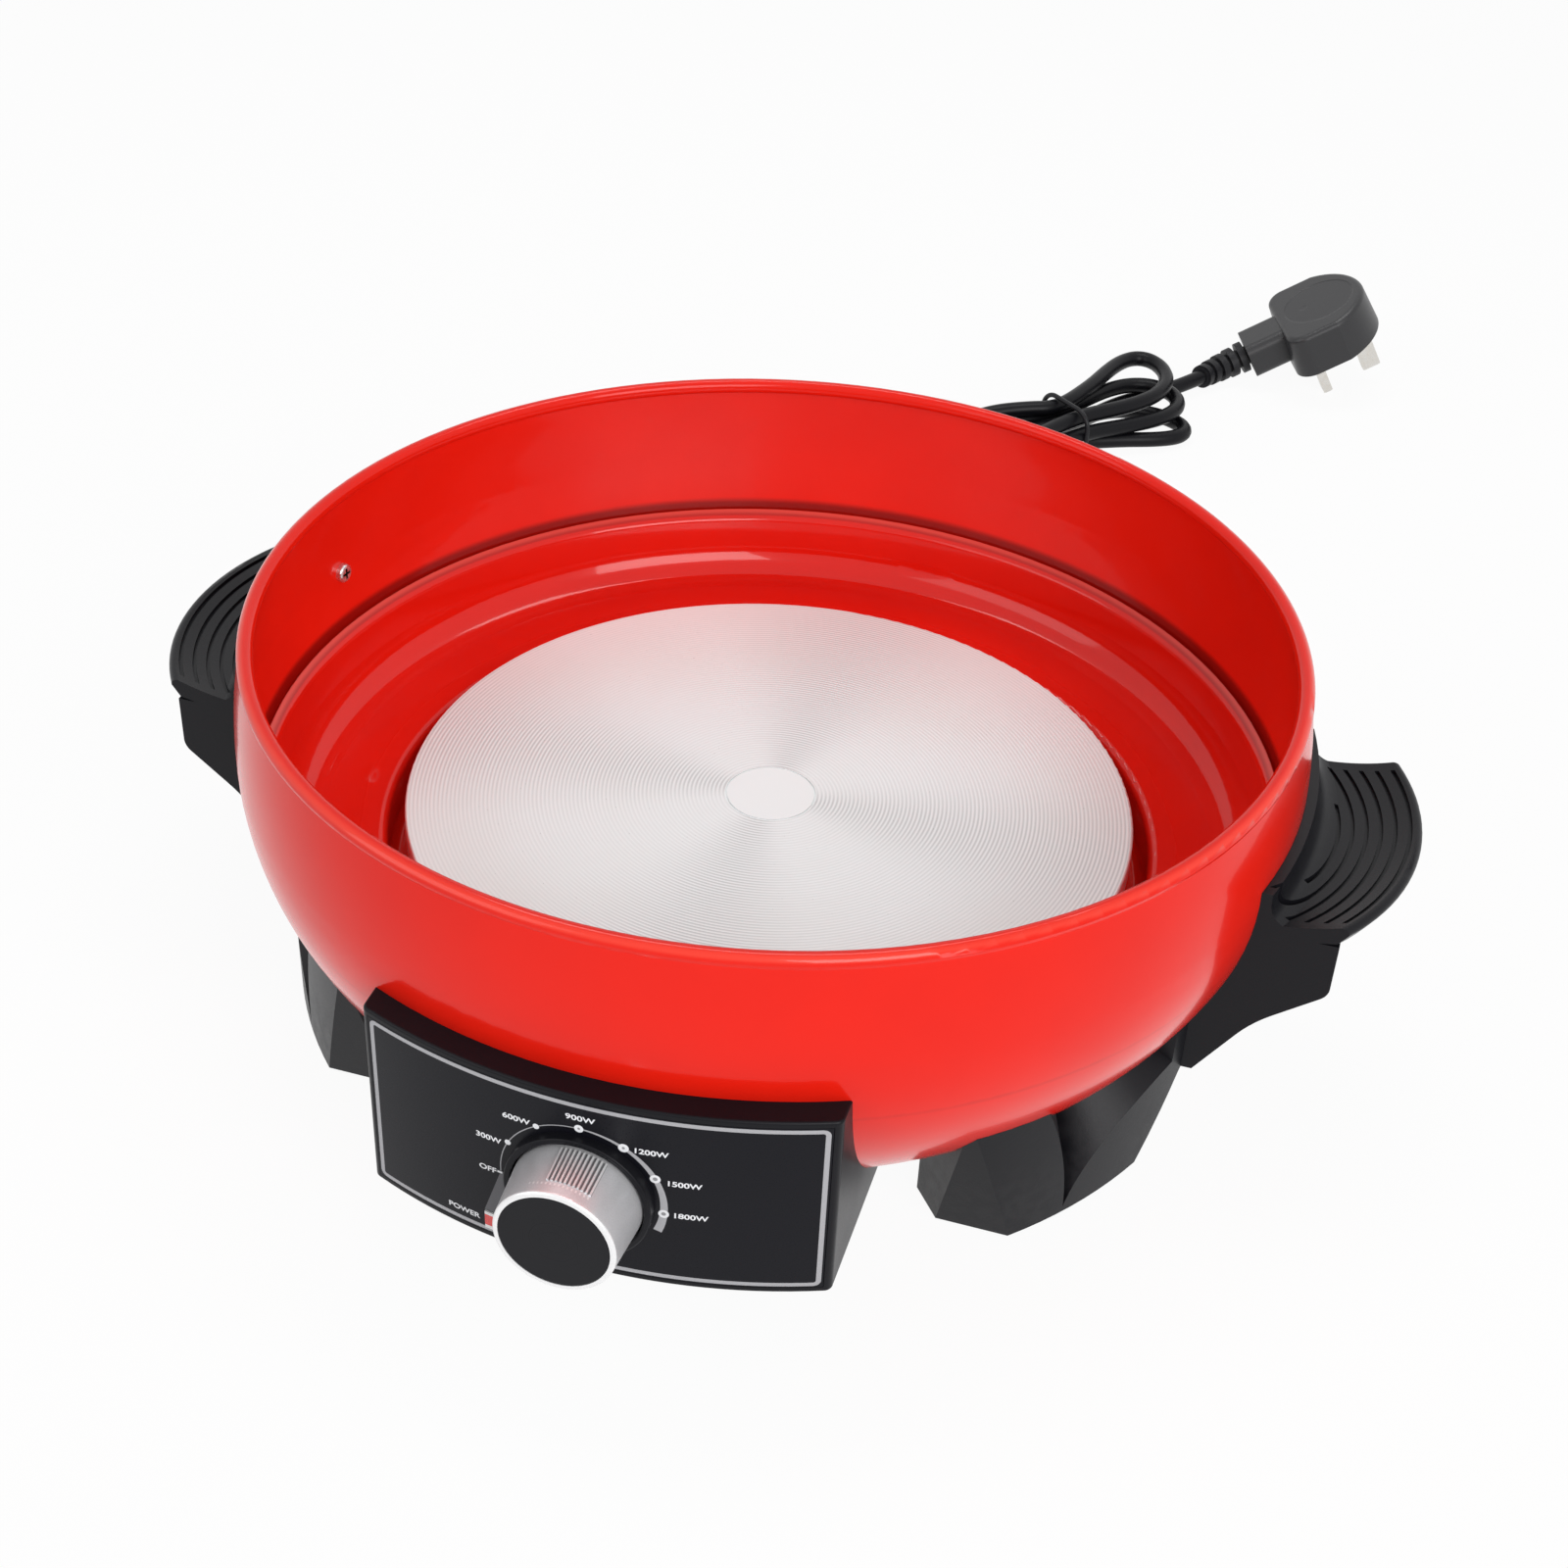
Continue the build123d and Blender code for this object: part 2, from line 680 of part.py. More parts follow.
def panel_slice(radius, half_width, bottom, top):
    """Upright slice of a cylinder about Z that stands in front of the shell."""
    return disc(radius, bottom, top) & block(
        (-half_width, half_width), (-2 * radius, -housing_back), (bottom, top))


housing = panel_slice(panel_radius, housing_half_width, housing_bottom, housing_top)
housing = fillet(housing.edges().filter_by(Axis.Z).group_by(Axis.Y)[0], housing_round)
housing = fillet(housing.edges().filter_by(GeomType.CIRCLE).sort_by(Axis.Y)[:2], 0.8)
housing -= panel_slice(inner_radius, housing_half_width - housing_wall, housing_bottom + housing_wall,
                       housing_top - housing_wall)
for place in housing_screw_places:
    boss = place * Rot(0, 90, 0) * Cylinder(boss_radius, 60)
    housing += boss & panel_slice(panel_radius - 1, housing_half_width, housing_bottom + 1, housing_top)
housing -= shell_space
for place in housing_screw_places:
    housing -= place * Rot(0, 90, 0) * Cylinder(screw_radius, 22)

fascia_half = housing_half_width - fascia_margin
fascia_low = housing_bottom + fascia_margin
fascia_high = housing_top - fascia_margin
recess = panel_slice(panel_radius + 1, fascia_half, fascia_low, fascia_high)
recess -= panel_slice(face_radius, fascia_half, fascia_low, fascia_high)
housing -= recess
fascia = panel_slice(panel_radius, fascia_half - fascia_gap, fascia_low + fascia_gap, fascia_high - fascia_gap)
fascia -= panel_slice(face_radius, fascia_half, fascia_low, fascia_high)

# holes for the regulator bush and the lens
knob_axis = Pos(0, 0, knob_height) * Rot(90, 0, 0)
bush_hole = knob_axis * disc(bush_radius + bush_gap, belly(knob_height), 2 * panel_radius)


def lens_block(gap):
    """Block in front of the shell with the lens's width and height, larger by a gap."""
    half_width = lens_width / 2 + gap
    return block((lens_x - half_width, lens_x + half_width), (-2 * panel_radius, -belly(knob_height)),
                 (lens_bottom - gap, lens_bottom + lens_height + gap))


for hole in (bush_hole, lens_block(lens_gap)):
    housing -= hole
    fascia -= hole
save("control_housing", housing)
save("control_fascia", fascia)

housing_screws = Part()
for place in housing_screw_places:
    housing_screws += place * Pos(-shell_wall - 0.04, 0, 0) * Rot(0, 0, 180) * pan_screw(housing_screw_length)
save("housing_screws", housing_screws)

# ring that frames the knob, its back cut to the curve of the fascia
bezel = knob_axis * ring(bezel_radius - bezel_width, bezel_radius, inner_radius - 10, panel_radius + bezel_depth)
bezel -= disc(panel_radius, 0, rim_height)
bezel = fillet(bezel.edges().filter_by(GeomType.CIRCLE).group_by(Axis.Y)[0], 0.5)
save("knob_bezel", bezel)

# red lens with the neon lamp and its holder behind it
lens_back = inner_radius - lens_behind
lens = lens_block(0) & disc(panel_radius + lens_proud, 0, rim_height)
lens -= disc(lens_back, 0, rim_height)
save("indicator_lens", lens)
lamp_axis = Pos(lens_x, 0, lens_bottom + lens_height / 2) * Rot(90, 0, 0)
lamp_tip = lens_back * cos(asin((abs(lens_x) + lens_width) / lens_back)) - 1
lamp_seat = lamp_tip - lamp_length
lamp = lamp_axis * disc(lamp_radius, lamp_seat, lamp_tip)
lamp = fillet(lamp.edges().group_by(Axis.Y)[0], lamp_radius * 0.7)
save("indicator_lamp", lamp)
holder = lamp_axis * (disc(lamp_radius + 1.4, lamp_seat - 2, lamp_tip - 4) - disc(lamp_radius, lamp_seat, lamp_tip))
holder += block((lens_x - 1, lens_x + 1), (-lamp_tip + 4, -lamp_seat + 2),
                (housing_bottom + housing_wall, lens_bottom + lens_height / 2 - lamp_radius - 1))
save("lamp_holder", holder)

# ------------------------------------------------------- power regulator and its knob
regulator_front = sqrt(inner_radius ** 2 - (regulator_width / 2) ** 2)
regulator_back = regulator_front - regulator_depth
regulator_low = knob_height - regulator_height / 2
half = regulator_width / 2
regulator = block((-half, half), (-regulator_front, -regulator_back),
                  (regulator_low, regulator_low + regulator_height))
regulator = fillet(regulator.edges().filter_by(Axis.Y), 2.5)
switch_back = regulator_back - switch_depth
regulator += block((-half + 2, half - 2), (-regulator_back, -switch_back), (regulator_low, regulator_low + switch_height))
bush_end = panel_radius + panel_nut_height + 0.8
regulator += knob_axis * disc(bush_radius, regulator_front - 1, bush_end)
regulator -= knob_axis * disc(shaft_radius + shaft_clearance, regulator_back + 1.5, bush_end + 1)
tab_height = regulator_low + switch_height / 2
for x in (-tab_x, tab_x):
    regulator += block((x - 2.4, x + 2.4), (-switch_back, -switch_back + 6), (tab_height - 0.4, tab_height + 0.4))
save("regulator_body", regulator)
nut_place = Pos(0, -panel_radius, knob_height) * Rot(90, 0, 0)
save("panel_nut", nut_place * hexagon_nut(panel_nut_flats, panel_nut_height, bush_radius))

# moulded knob: tapered shell, hub with a flat for the shaft, grip ribs on one side
knob_front = knob_length - knob_cap_depth
knob_place = Pos(0, -panel_radius - knob_gap, knob_height) * Rot(90, 0, 0) * Rot(0, 0, -knob_rest_angle)
knob = turned([
    (knob_base_radius - knob_wall, 0), (knob_base_radius, 0), (knob_face_radius, knob_length),
    (knob_cap_radius, knob_length), (knob_cap_radius, knob_front), (0, knob_front),
    (0, knob_front - knob_web), (knob_face_radius - knob_wall, knob_front - knob_web)])
knob = fillet(knob.edges().filter_by(GeomType.CIRCLE).group_by(Axis.Z)[-1].sort_by(SortBy.RADIUS)[-1],
              knob_edge_round)
hub_start = bush_end - panel_radius - knob_gap + 0.9
knob += disc(hub_radius, hub_start, knob_front - knob_web)
shaft_end = knob_front - knob_web - 1
taper = degrees(asin((knob_base_radius - knob_face_radius) / knob_length))
for i in range(rib_count):
    turn = (i - (rib_count - 1) / 2) * rib_pitch
    rib = Pos(0, knob_base_radius, 0) * Rot(taper, 0, 0) * Pos(0, -0.6, rib_margin) * Box(
        rib_width, 2 * (0.6 + rib_rise), rib_length, align=(Align.CENTER, Align.CENTER, Align.MIN))
    knob += Rot(0, 0, -turn) * rib
shaft_flat_cut = block((-10, 10), (shaft_flat, 10), (hub_start - 0.5, knob_length))
bore = disc(shaft_radius, hub_start - 1, shaft_end) - Pos(0, spring_wall, 0) * shaft_flat_cut
knob -= bore
save("knob_body", knob_place * knob)
cap = disc(knob_cap_radius - 0.05, knob_front, knob_length + knob_cap_proud)
cap = fillet(cap.edges().group_by(Axis.Z)[-1], 0.3)
save("knob_cap", knob_place * cap)
shaft = disc(shaft_radius, regulator_back + 2 - panel_radius - knob_gap, shaft_end) - shaft_flat_cut
save("regulator_shaft", knob_place * shaft)
spring_half = sqrt(shaft_radius ** 2 - (shaft_flat + spring_wall) ** 2)
spring = block((-spring_half, spring_half), (shaft_flat, shaft_flat + spring_wall), (hub_start, shaft_end))
save("knob_spring", knob_place * spring)

# ------------------------------------------------ mains inlet and the wiring inside
terminal_block = Pos(0, block_y, shell_underside + shell_wall) * Box(
    block_width, block_depth, block_height, align=(Align.CENTER, Align.CENTER, Align.MIN))
terminal_block = fillet(terminal_block.edges().filter_by(Axis.Z), 1.5)
block_top = shell_underside + shell_wall + block_height
pole_pitch = block_width / 3
for i in (-1, 0, 1):
    terminal_block -= Pos(i * pole_pitch, block_y, block_top) * Cylinder(2.4, 5)
for i in (-0.5, 0.5):
    terminal_block -= Pos(i * pole_pitch, block_y, block_top) * Box(1.2, 2 * block_depth, 5)
save("terminal_block", terminal_block)
tag_x = block_width / 2 + 9
tag = Pos(tag_x, block_y, shell_underside + shell_wall) * extrude(SlotOverall(14, 7), 0.8)
tag += Pos(tag_x, block_y, shell_underside + shell_wall + 0.8) * hexagon_nut(5.5, 2.4, 0.6)
save("earth_tag", tag)

gland_back = -2.3
gland = disc(gland_flange_radius, -6, gland_flange)
gland += Pos(0, 0, gland_flange) * Cone(gland_root_radius, gland_tip_radius, gland_length - gland_flange,
                                       align=(Align.CENTER, Align.CENTER, Align.MIN))
rib_step = (gland_length - gland_flange - 8) / gland_ribs
for i in range(gland_ribs):
    height = gland_flange + 5 + i * rib_step
    gland -= ring(gland_tip_radius - 0.6, gland_root_radius + 1, height, height + rib_step * 0.4)
gland = gland_place * gland - shell_space
gland_inner = gland_place * disc(gland_root_radius + 0.4, gland_back, 2)
gland += gland_inner & shell_form(shell_wall, shell_underside, neck_height)
gland += gland_place * disc(gland_root_radius, gland_back, 0.6)
save("cord_gland", gland)

block_front = block_y - block_depth / 2
block_back = block_y + block_depth / 2
pole_height = shell_underside + shell_wall + 0.35 * block_height
tail_end = (gland_place * Pos(0, 0, gland_back)).position
tab_end = -switch_back + 6
tail_y = (well_radius + belly(tail_height) - shell_wall) / 2
routes = {
    "live_tail": [(-5, tail_end.Y, tail_end.Z - 1), (-7, tail_y, tail_height), (-pole_pitch, block_back, pole_height)],
    "neutral_tail": [(0, tail_end.Y, tail_end.Z - 1), (0, tail_y, tail_height), (0, block_back, pole_height)],
    "earth_tail": [(5, tail_end.Y, tail_end.Z - 1), (12, tail_y, tail_height), (tag_x, block_y + 3, pole_height + 3)],
    "live_lead": [(-pole_pitch, block_front, pole_height), (-58, 48, 18), (-60, -30, 18),
                  (-30, -104, 24), (-tab_x, tab_end, tab_height)],
    "element_lead": [(tab_x, tab_end, tab_height), (24, -112, 26), (terminal_x, terminal_y - 2.4, terminal_end + 2)],
    "neutral_lead": [(0, block_front, pole_height), (58, 48, 18), (58, -20, 18), (30, -52, 17),
                     (2.4 - terminal_x, terminal_y + 0.8, terminal_end + 2)],
    "lamp_lead": [(lens_x, -lamp_seat + 2, lens_bottom + lens_height / 2), (lens_x + 6, -132, 25),
                  (lens_x + 9, -116, 27), (-terminal_x, terminal_y - 2.4, terminal_end + 2)],
}
for name, points in routes.items():
    save(name, bent_tube(points, lead_radius))

# ----------------------------------------------------- mains cord, its hank and plug
cord_radius = cord_diameter / 2
floor_height = cord_radius + 0.2
hank_place = Pos(hank_x, hank_y, 0) * Rot(0, 0, hank_direction)
hank_lift = 0.3


def hank_section(along, across, half_width, share, lift=hank_lift):
    """Upright ellipse across the hank, with a share of its height, that stands at a lift."""
    half_height = share * hank_height / 2
    return Pos(along, across, lift + half_height) * (Plane.YZ * Ellipse(half_width, half_height))


waist_lift = 2 * tie_radius + hank_lift
hank = loft([
    hank_section(-hank_reach_in, -2, 0.35 * hank_half_width, 0.75),
    hank_section(-0.62 * hank_reach_in, 1, hank_half_width, 1),
    hank_section(0, 0, waist_half_width, waist_share, waist_lift),
    hank_section(0.62 * hank_reach_out, hank_offset, hank_half_width, 1),
    hank_section(hank_reach_out, hank_offset, 0.35 * hank_half_width, 0.8),
])
save("cord_hank", hank_place * hank)

# twist tie round the waist, its ends twisted out to both sides
tie_gap = 0.15
tie_half_width = waist_half_width + tie_radius + tie_gap
tie_low = waist_lift - tie_radius - tie_gap
tie_high = waist_lift + waist_share * hank_height + tie_radius + tie_gap
tie_path = FilletPolyline(
    (0, -tie_half_width, tie_low), (0, tie_half_width, tie_low), (0, tie_half_width, tie_high),
    (0, -tie_half_width, tie_high), radius=0.35 * hank_height, close=True)
tie = sweep(Plane(tie_path @ 0, z_dir=tie_path % 0) * Circle(tie_radius), path=tie_path)
for side in (-1, 1):
    tie += bent_tube([(0, side * 1.5, tie_high), (side * 5, side * 4, tie_high + 3),
                      (side * tie_tail, side * 9, tie_high + 1)], tie_radius)
save("cord_tie", hank_place * tie)

gland_end = (gland_place * Pos(0, 0, gland_length)).position
gland_way = Vector(0, cos(radians(gland_slope)), -sin(radians(gland_slope)))
landing = gland_end + gland_way * ((gland_end.Z - floor_height) / sin(radians(gland_slope)))
supply_route = [gland_end, landing, (-12, 244, floor_height), (-30, 272, floor_height),
                (-40, 298, floor_height), (-33.5, 322.5, floor_height + 1), (-20, 337, floor_height + 3)]
save("supply_cord", bent_tube(supply_route, cord_radius))

# moulded three-pin plug, tipped back so that it stands on its two short pins and its sleeve
lean = radians(plug_lean)
plug_lift = line_pin[2] * cos(lean) + (pin_spread + line_pin[1] / 2 - pin_chamfer) * sin(lean)
# local frame of the plug: X along it away from the cord, Z out of its back, pins along -Z
plug_place = Pos(plug_x, plug_y, plug_lift) * Rot(0, 0, plug_direction) * Rot(0, -plug_lean, 0)
plug_outline = RectangleRounded(plug_length, plug_width, plug_corner)
plug_outline &= Pos(plug_length / 2 - plug_nose_radius, 0) * Circle(plug_nose_radius)
plug_body = extrude(plug_outline, plug_depth, taper=4)
neck_end = -plug_length / 2 - neck_length
neck = block((neck_end, 0), (-neck_width / 2, neck_width / 2), (1.5, 1.5 + neck_depth))
plug_body += fillet(neck.edges().filter_by(Axis.X), 4)
plug_body = fillet(plug_body.edges().group_by(Axis.Z)[-1], plug_round)
fuse_space = block((-fuse_height / 2, fuse_height / 2), (-fuse_width / 2, fuse_width / 2), (0, 4))
plug_body -= fuse_space
line_pins = Part()
for side in (-1, 1):
    line_pins += Pos(-pin_spread, side * pin_spread, 0) * Box(
        line_pin[1], line_pin[0], line_pin[2], align=(Align.CENTER, Align.CENTER, Align.MAX))
line_pins = chamfer(line_pins.edges().group_by(Axis.Z)[0], pin_chamfer)
earth = Pos(pin_spread, 0, 0) * Box(
    earth_pin[1], earth_pin[0], earth_pin[2], align=(Align.CENTER, Align.CENTER, Align.MAX))
earth = chamfer(earth.edges().group_by(Axis.Z)[0], pin_chamfer)
save("plug_body", plug_place * plug_body)
save("fuse_carrier", plug_place * fuse_space)
save("plug_line_pins", plug_place * line_pins)
save("plug_earth_pin", plug_place * earth)

# flexible sleeve that bends with the cord: a core with ribs that shrink towards its tip
sleeve_root = (plug_place * Pos(neck_end, 0, sleeve_height)).position
sleeve_tip = (hank_place * Pos(sleeve_end_along, sleeve_end_across, sleeve_end_height)).position
sleeve_way = (plug_place * Pos(neck_end - 1, 0, sleeve_height)).position - sleeve_root
sleeve_line = TangentArc(sleeve_root, sleeve_tip, tangent=sleeve_way)
sleeve = sweep(Plane(sleeve_line @ 0, z_dir=sleeve_line % 0) * Circle(sleeve_tip_radius - 0.7), path=sleeve_line)
for i in range(sleeve_ribs):
    share = (i + 0.5) / sleeve_ribs
    rib_radius = sleeve_root_radius + (sleeve_tip_radius - sleeve_root_radius) * share
    rib_place = Plane(sleeve_line @ share, z_dir=sleeve_line % share)
    rib_width_here = 0.55 * sleeve_line.length / sleeve_ribs
    rib = Location(rib_place) * Cylinder(rib_radius, rib_width_here)
    sleeve += rib
save("plug_sleeve", sleeve)
cord_way = sleeve_line % 1
plug_route = [sleeve_tip, sleeve_tip + cord_way * 12,
              (hank_place * Pos(62, 12, floor_height)).position]
save("plug_cord", bent_tube(plug_route, cord_radius))
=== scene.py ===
from math import cos, pi, radians, sin, sqrt

import bpy
from mathutils import Matrix, Vector


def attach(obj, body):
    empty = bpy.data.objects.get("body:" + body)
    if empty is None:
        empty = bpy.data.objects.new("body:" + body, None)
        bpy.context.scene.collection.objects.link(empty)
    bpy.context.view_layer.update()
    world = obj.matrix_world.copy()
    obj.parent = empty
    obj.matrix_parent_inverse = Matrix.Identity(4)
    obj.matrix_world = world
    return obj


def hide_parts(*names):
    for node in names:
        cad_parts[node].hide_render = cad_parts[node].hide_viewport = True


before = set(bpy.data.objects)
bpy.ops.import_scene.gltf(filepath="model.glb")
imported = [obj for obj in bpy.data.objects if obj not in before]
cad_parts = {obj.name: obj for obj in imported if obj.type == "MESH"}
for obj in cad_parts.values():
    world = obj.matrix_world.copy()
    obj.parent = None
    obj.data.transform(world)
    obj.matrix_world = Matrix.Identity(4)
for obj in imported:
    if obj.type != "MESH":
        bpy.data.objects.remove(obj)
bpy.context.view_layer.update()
MM = 0.001

# ---------------------------------------------------------------------------------------
# Camera: a long lens that looks down on the base from the front, a little to the right of
# the control panel, as for a catalogue picture.
rim_radius = 150 * MM
rim_top = 117.353 * MM
camera_reach = 4.44644688 * rim_radius
camera_elevation = 0.554490006
lens_tilts = ((0.00550364, "Y"), (-0.07183748, "X"), (-0.04733116, "Z"))
lens_pixels, picture_pixels, film_width = 2409.18, 1600, 36
right_of_front = radians(15.5)
place = Vector((0, -camera_reach * cos(camera_elevation), camera_reach * sin(camera_elevation)))
ahead = -place.normalized()
right = Vector((1, 0, 0))
aim = Matrix((right, ahead.cross(right), ahead)).transposed()
for angle, axis in lens_tilts:
    aim = aim @ Matrix.Rotation(angle, 3, axis)
round_base = Matrix.Rotation(right_of_front, 3, "Z")
lens_turn = round_base @ Matrix((aim.col[0], -aim.col[1], -aim.col[2])).transposed()
camera_data = bpy.data.cameras.new("catalogue_camera")
camera_data.sensor_width = film_width
camera_data.lens = film_width * lens_pixels / picture_pixels
camera_data.clip_start = 0.01
camera = bpy.data.objects.new("catalogue_camera", camera_data)
stand = round_base @ place + Vector((0, 0, rim_top))
camera.matrix_world = Matrix.Translation(stand) @ lens_turn.to_4x4()
bpy.context.scene.collection.objects.link(camera)
bpy.context.scene.camera = camera
bpy.context.scene.view_settings.view_transform = "Standard"


# ---------------------------------------------------------------------------------------
# Studio: a white table and a white surround, lit by two wide soft boxes in front and a
# narrow box above and behind. The surround shows plain white to the lens and in polished parts.
class Shade:
    """A socket of a material, so that patterns are written as sums."""

    def __init__(self, tree, socket=None):
        self.tree, self.socket = tree, socket

    def node(self, kind, settings=None, **sockets):
        """Adds a node, with its settings first and then the values or links of its sockets."""
        made = self.tree.nodes.new(kind)
        for key, value in (settings or {}).items():
            if key == "stops":
                ramp = made.color_ramp
                while len(ramp.elements) < len(value):
                    ramp.elements.new(0.5)
                for stop, (position, colour) in zip(ramp.elements, value):
                    stop.position, stop.color = position, colour
            else:
                setattr(made, key, value)
        for key, value in sockets.items():
            number = key.removeprefix("in")
            target = made.inputs[int(number) if number.isdigit() else key.replace("_", " ")]
            if isinstance(value, Shade):
                self.tree.links.new(value.socket, target)
            else:
                target.default_value = value
        return Shade(self.tree, made.outputs[0] if made.outputs else None)

    def out(self, name):
        """Another output of the same node."""
        return Shade(self.tree, self.socket.node.outputs[name])

    def maths(self, operation, *others):
        values = {f"in{i}": value for i, value in enumerate((self, *others))}
        return self.node("ShaderNodeMath", {"operation": operation}, **values)

    def __add__(self, other):
        return self.maths("ADD", other)

    def __sub__(self, other):
        return self.maths("SUBTRACT", other)

    def __mul__(self, other):
        return self.maths("MULTIPLY", other)

    def __truediv__(self, other):
        return self.maths("DIVIDE", other)

    def __rsub__(self, other):
        return self.node("ShaderNodeMath", {"operation": "SUBTRACT"}, in0=other, in1=self)

    __radd__, __rmul__ = __add__, __mul__

    def over(self, limit, soft=0.02 * MM):
        """1 where the value passes a limit, with a soft edge."""
        return self.node("ShaderNodeMapRange", {"interpolation_type": "SMOOTHSTEP"},
                         in0=self, in1=limit - soft, in2=limit + soft, in3=0.0, in4=1.0)

    def under(self, limit, soft=0.02 * MM):
        return 1 - self.over(limit, soft)

    def between(self, low, high, soft=0.02 * MM):
        return self.over(low, soft) * self.under(high, soft)

    def blend(self, first, second):
        """Colour that goes from the first to the second as this value goes from 0 to 1."""
        return self.node("ShaderNodeMix", {"data_type": "RGBA"}, in0=self, in6=first, in7=second).out(2)


def seen_plain(paint):
    """1 for rays from the lens, and for what polished or clear parts show; 0 for light."""
    ray = paint.node("ShaderNodeLightPath")
    return (ray + ray.out("Is Glossy Ray") + ray.out("Is Transmission Ray")).maths("MINIMUM", 1.0)


def studio_white(name, colour, share):
    """Plain white to the lens, with a share of the surface's own shading left in it."""
    made = bpy.data.materials.new(name)
    made.use_nodes = True
    tree = made.node_tree
    tree.nodes.clear()
    paint = Shade(tree)
    direct = seen_plain(paint) * share
    lit = paint.node("ShaderNodeBsdfDiffuse", in0=colour)
    white = paint.node("ShaderNodeEmission", in0=(1, 1, 1, 1), in1=1.0)
    mixed = paint.node("ShaderNodeMixShader", in0=direct, in1=lit, in2=white)
    paint.node("ShaderNodeOutputMaterial", in0=mixed)
    return made


bpy.ops.object.select_all(action="DESELECT")
table_radius, table_drop = 6, 0.0004
bpy.ops.mesh.primitive_circle_add(vertices=96, radius=table_radius, fill_type="NGON",
                                  location=(0, 0, -table_drop))
table = bpy.context.object
table.name = "studio_table"
table.data.materials.append(studio_white("table_white", (0.86, 0.86, 0.86, 1), 0.94))
bpy.ops.object.transform_apply(location=True)

surround_light = 0.22
world = bpy.data.worlds.new("studio_surround")
bpy.context.scene.world = world
world.use_nodes = True
world.node_tree.nodes.clear()
sky = Shade(world.node_tree)
surround = sky.node("ShaderNodeBackground", in0=(1, 1, 1, 1),
                    in1=seen_plain(sky) * (1 - surround_light) + surround_light)
sky.node("ShaderNodeOutputWorld", in0=surround)


def soft_box(name, position, size, watts):
    light = bpy.data.lights.new(name, "AREA")
    light.shape, light.size, light.size_y, light.energy = "RECTANGLE", size[0], size[1], watts
    lamp = bpy.data.objects.new(name, light)
    lamp.location = position
    lamp.rotation_euler = (-Vector(position)).to_track_quat("-Z", "Y").to_euler()
    bpy.context.scene.collection.objects.link(lamp)


soft_box("key_box", (1.15, -1.25, 1.0), (1.3, 1.1), 26)
soft_box("fill_box", (-1.2, -1.1, 0.9), (1.4, 1.2), 8)
soft_box("top_box", (-0.1, 0.55, 1.5), (1.1, 0.4), 8)

# ---------------------------------------------------------------------------------------
# Mains cord: round black PVC flex, 6.5 mm across, that leaves the back of the shell, lies
# on the table and is folded three times into a hank before it runs to its plug.
cord_diameter = 6.5 * MM
supply_route = [(0, 174.707, 21.527), (0, 204.54, 3.45), (-12, 244, 3.45), (-30, 272, 3.45),
                (-40, 298, 3.45)]
hank_origin = Vector((23.5, 351.7, 0)) * MM
hank_direction = radians(52)
strand_low, strand_mid, strand_top = 5.5, 11.3, 17.1
# each fold runs from one place in the tie to the next: start and end (across, height), how
# far it reaches, how far it leans sideways, half its width, and the height it lies at
folds = [
    ((5, strand_top), (-5, strand_top), 66, 17, 11, (17.0, 17.0)),
    ((-5, strand_top), (9, strand_mid), -81, 3, 12, (17.2, 13.0)),
    ((9, strand_mid), (-9, strand_mid), 62, 2, 9, (10.2, 10.2)),
    ((-9, strand_mid), (0, strand_mid), -76, -4, 12, (10.2, 10.2)),
    ((0, strand_mid), (-5, strand_low), 55, -10, 12, (3.45, 3.45)),
    ((-5, strand_low), (5, strand_low), -72, -3, 12, (3.45, 3.45)),
]
steps = 12
fold_swell = 2.6


def hank_point(along, across, height):
    turn = Matrix.Rotation(hank_direction, 3, "Z")
    return hank_origin + turn @ (Vector((along, across, height)) * MM)


turns = []
for start, end, reach, lean, half, lying in folds:
    turns.append(hank_point(0, *start))
    side = 1 if start[0] > end[0] else -1
    for i in range(1, steps):
        bend = pi * i / steps
        swell = side * half * fold_swell * sin(bend) * cos(bend) / sqrt(1 + sin(bend))
        across = (start[0] + end[0]) / 2 + (start[0] - end[0]) / 2 * cos(bend)
        tied = (start if bend < pi / 2 else end)[1]
        rest = lying[0] + (lying[1] - lying[0]) * i / steps
        turns.append(hank_point(reach * sin(bend) ** 0.7, across + lean * sin(bend) ** 1.5 + swell,
                                rest + (tied - rest) * (1 - sin(bend)) ** 1.5))
turns.append(hank_point(0, 5, strand_low))
rise = [(-62, 28, 3.6), (-48, 29, 5), (-37, 25, 11), (-25, 18.5, 15.8), (-12, 11, 17.4)]
run_out = [(20, 10.5, 3.7), (45, 15, 3.45), (62, 13, 3.9), (77, 10.5, 5.6)]
sleeve_tip = Vector((70.042, 430.437, 5.9)) * MM
route = [Vector(point) * MM for point in supply_route]
route += [hank_point(*point) for point in rise] + turns + [hank_point(*point) for point in run_out]
route += [sleeve_tip]

cord_curve = bpy.data.curves.new("mains_cord", "CURVE")
cord_curve.dimensions = "3D"
cord_line = cord_curve.splines.new("NURBS")
cord_line.points.add(len(route) - 1)
for point, position in zip(cord_line.points, route):
    point.co = (*position, 1)
cord_line.order_u = 3
cord_line.use_endpoint_u = True
cord_line.resolution_u = 6
cord_curve.bevel_depth = cord_diameter / 2
cord_curve.bevel_resolution = 5
cord_curve.use_fill_caps = True
mains_cord = bpy.data.objects.new("mains_cord", cord_curve)
bpy.context.scene.collection.objects.link(mains_cord)


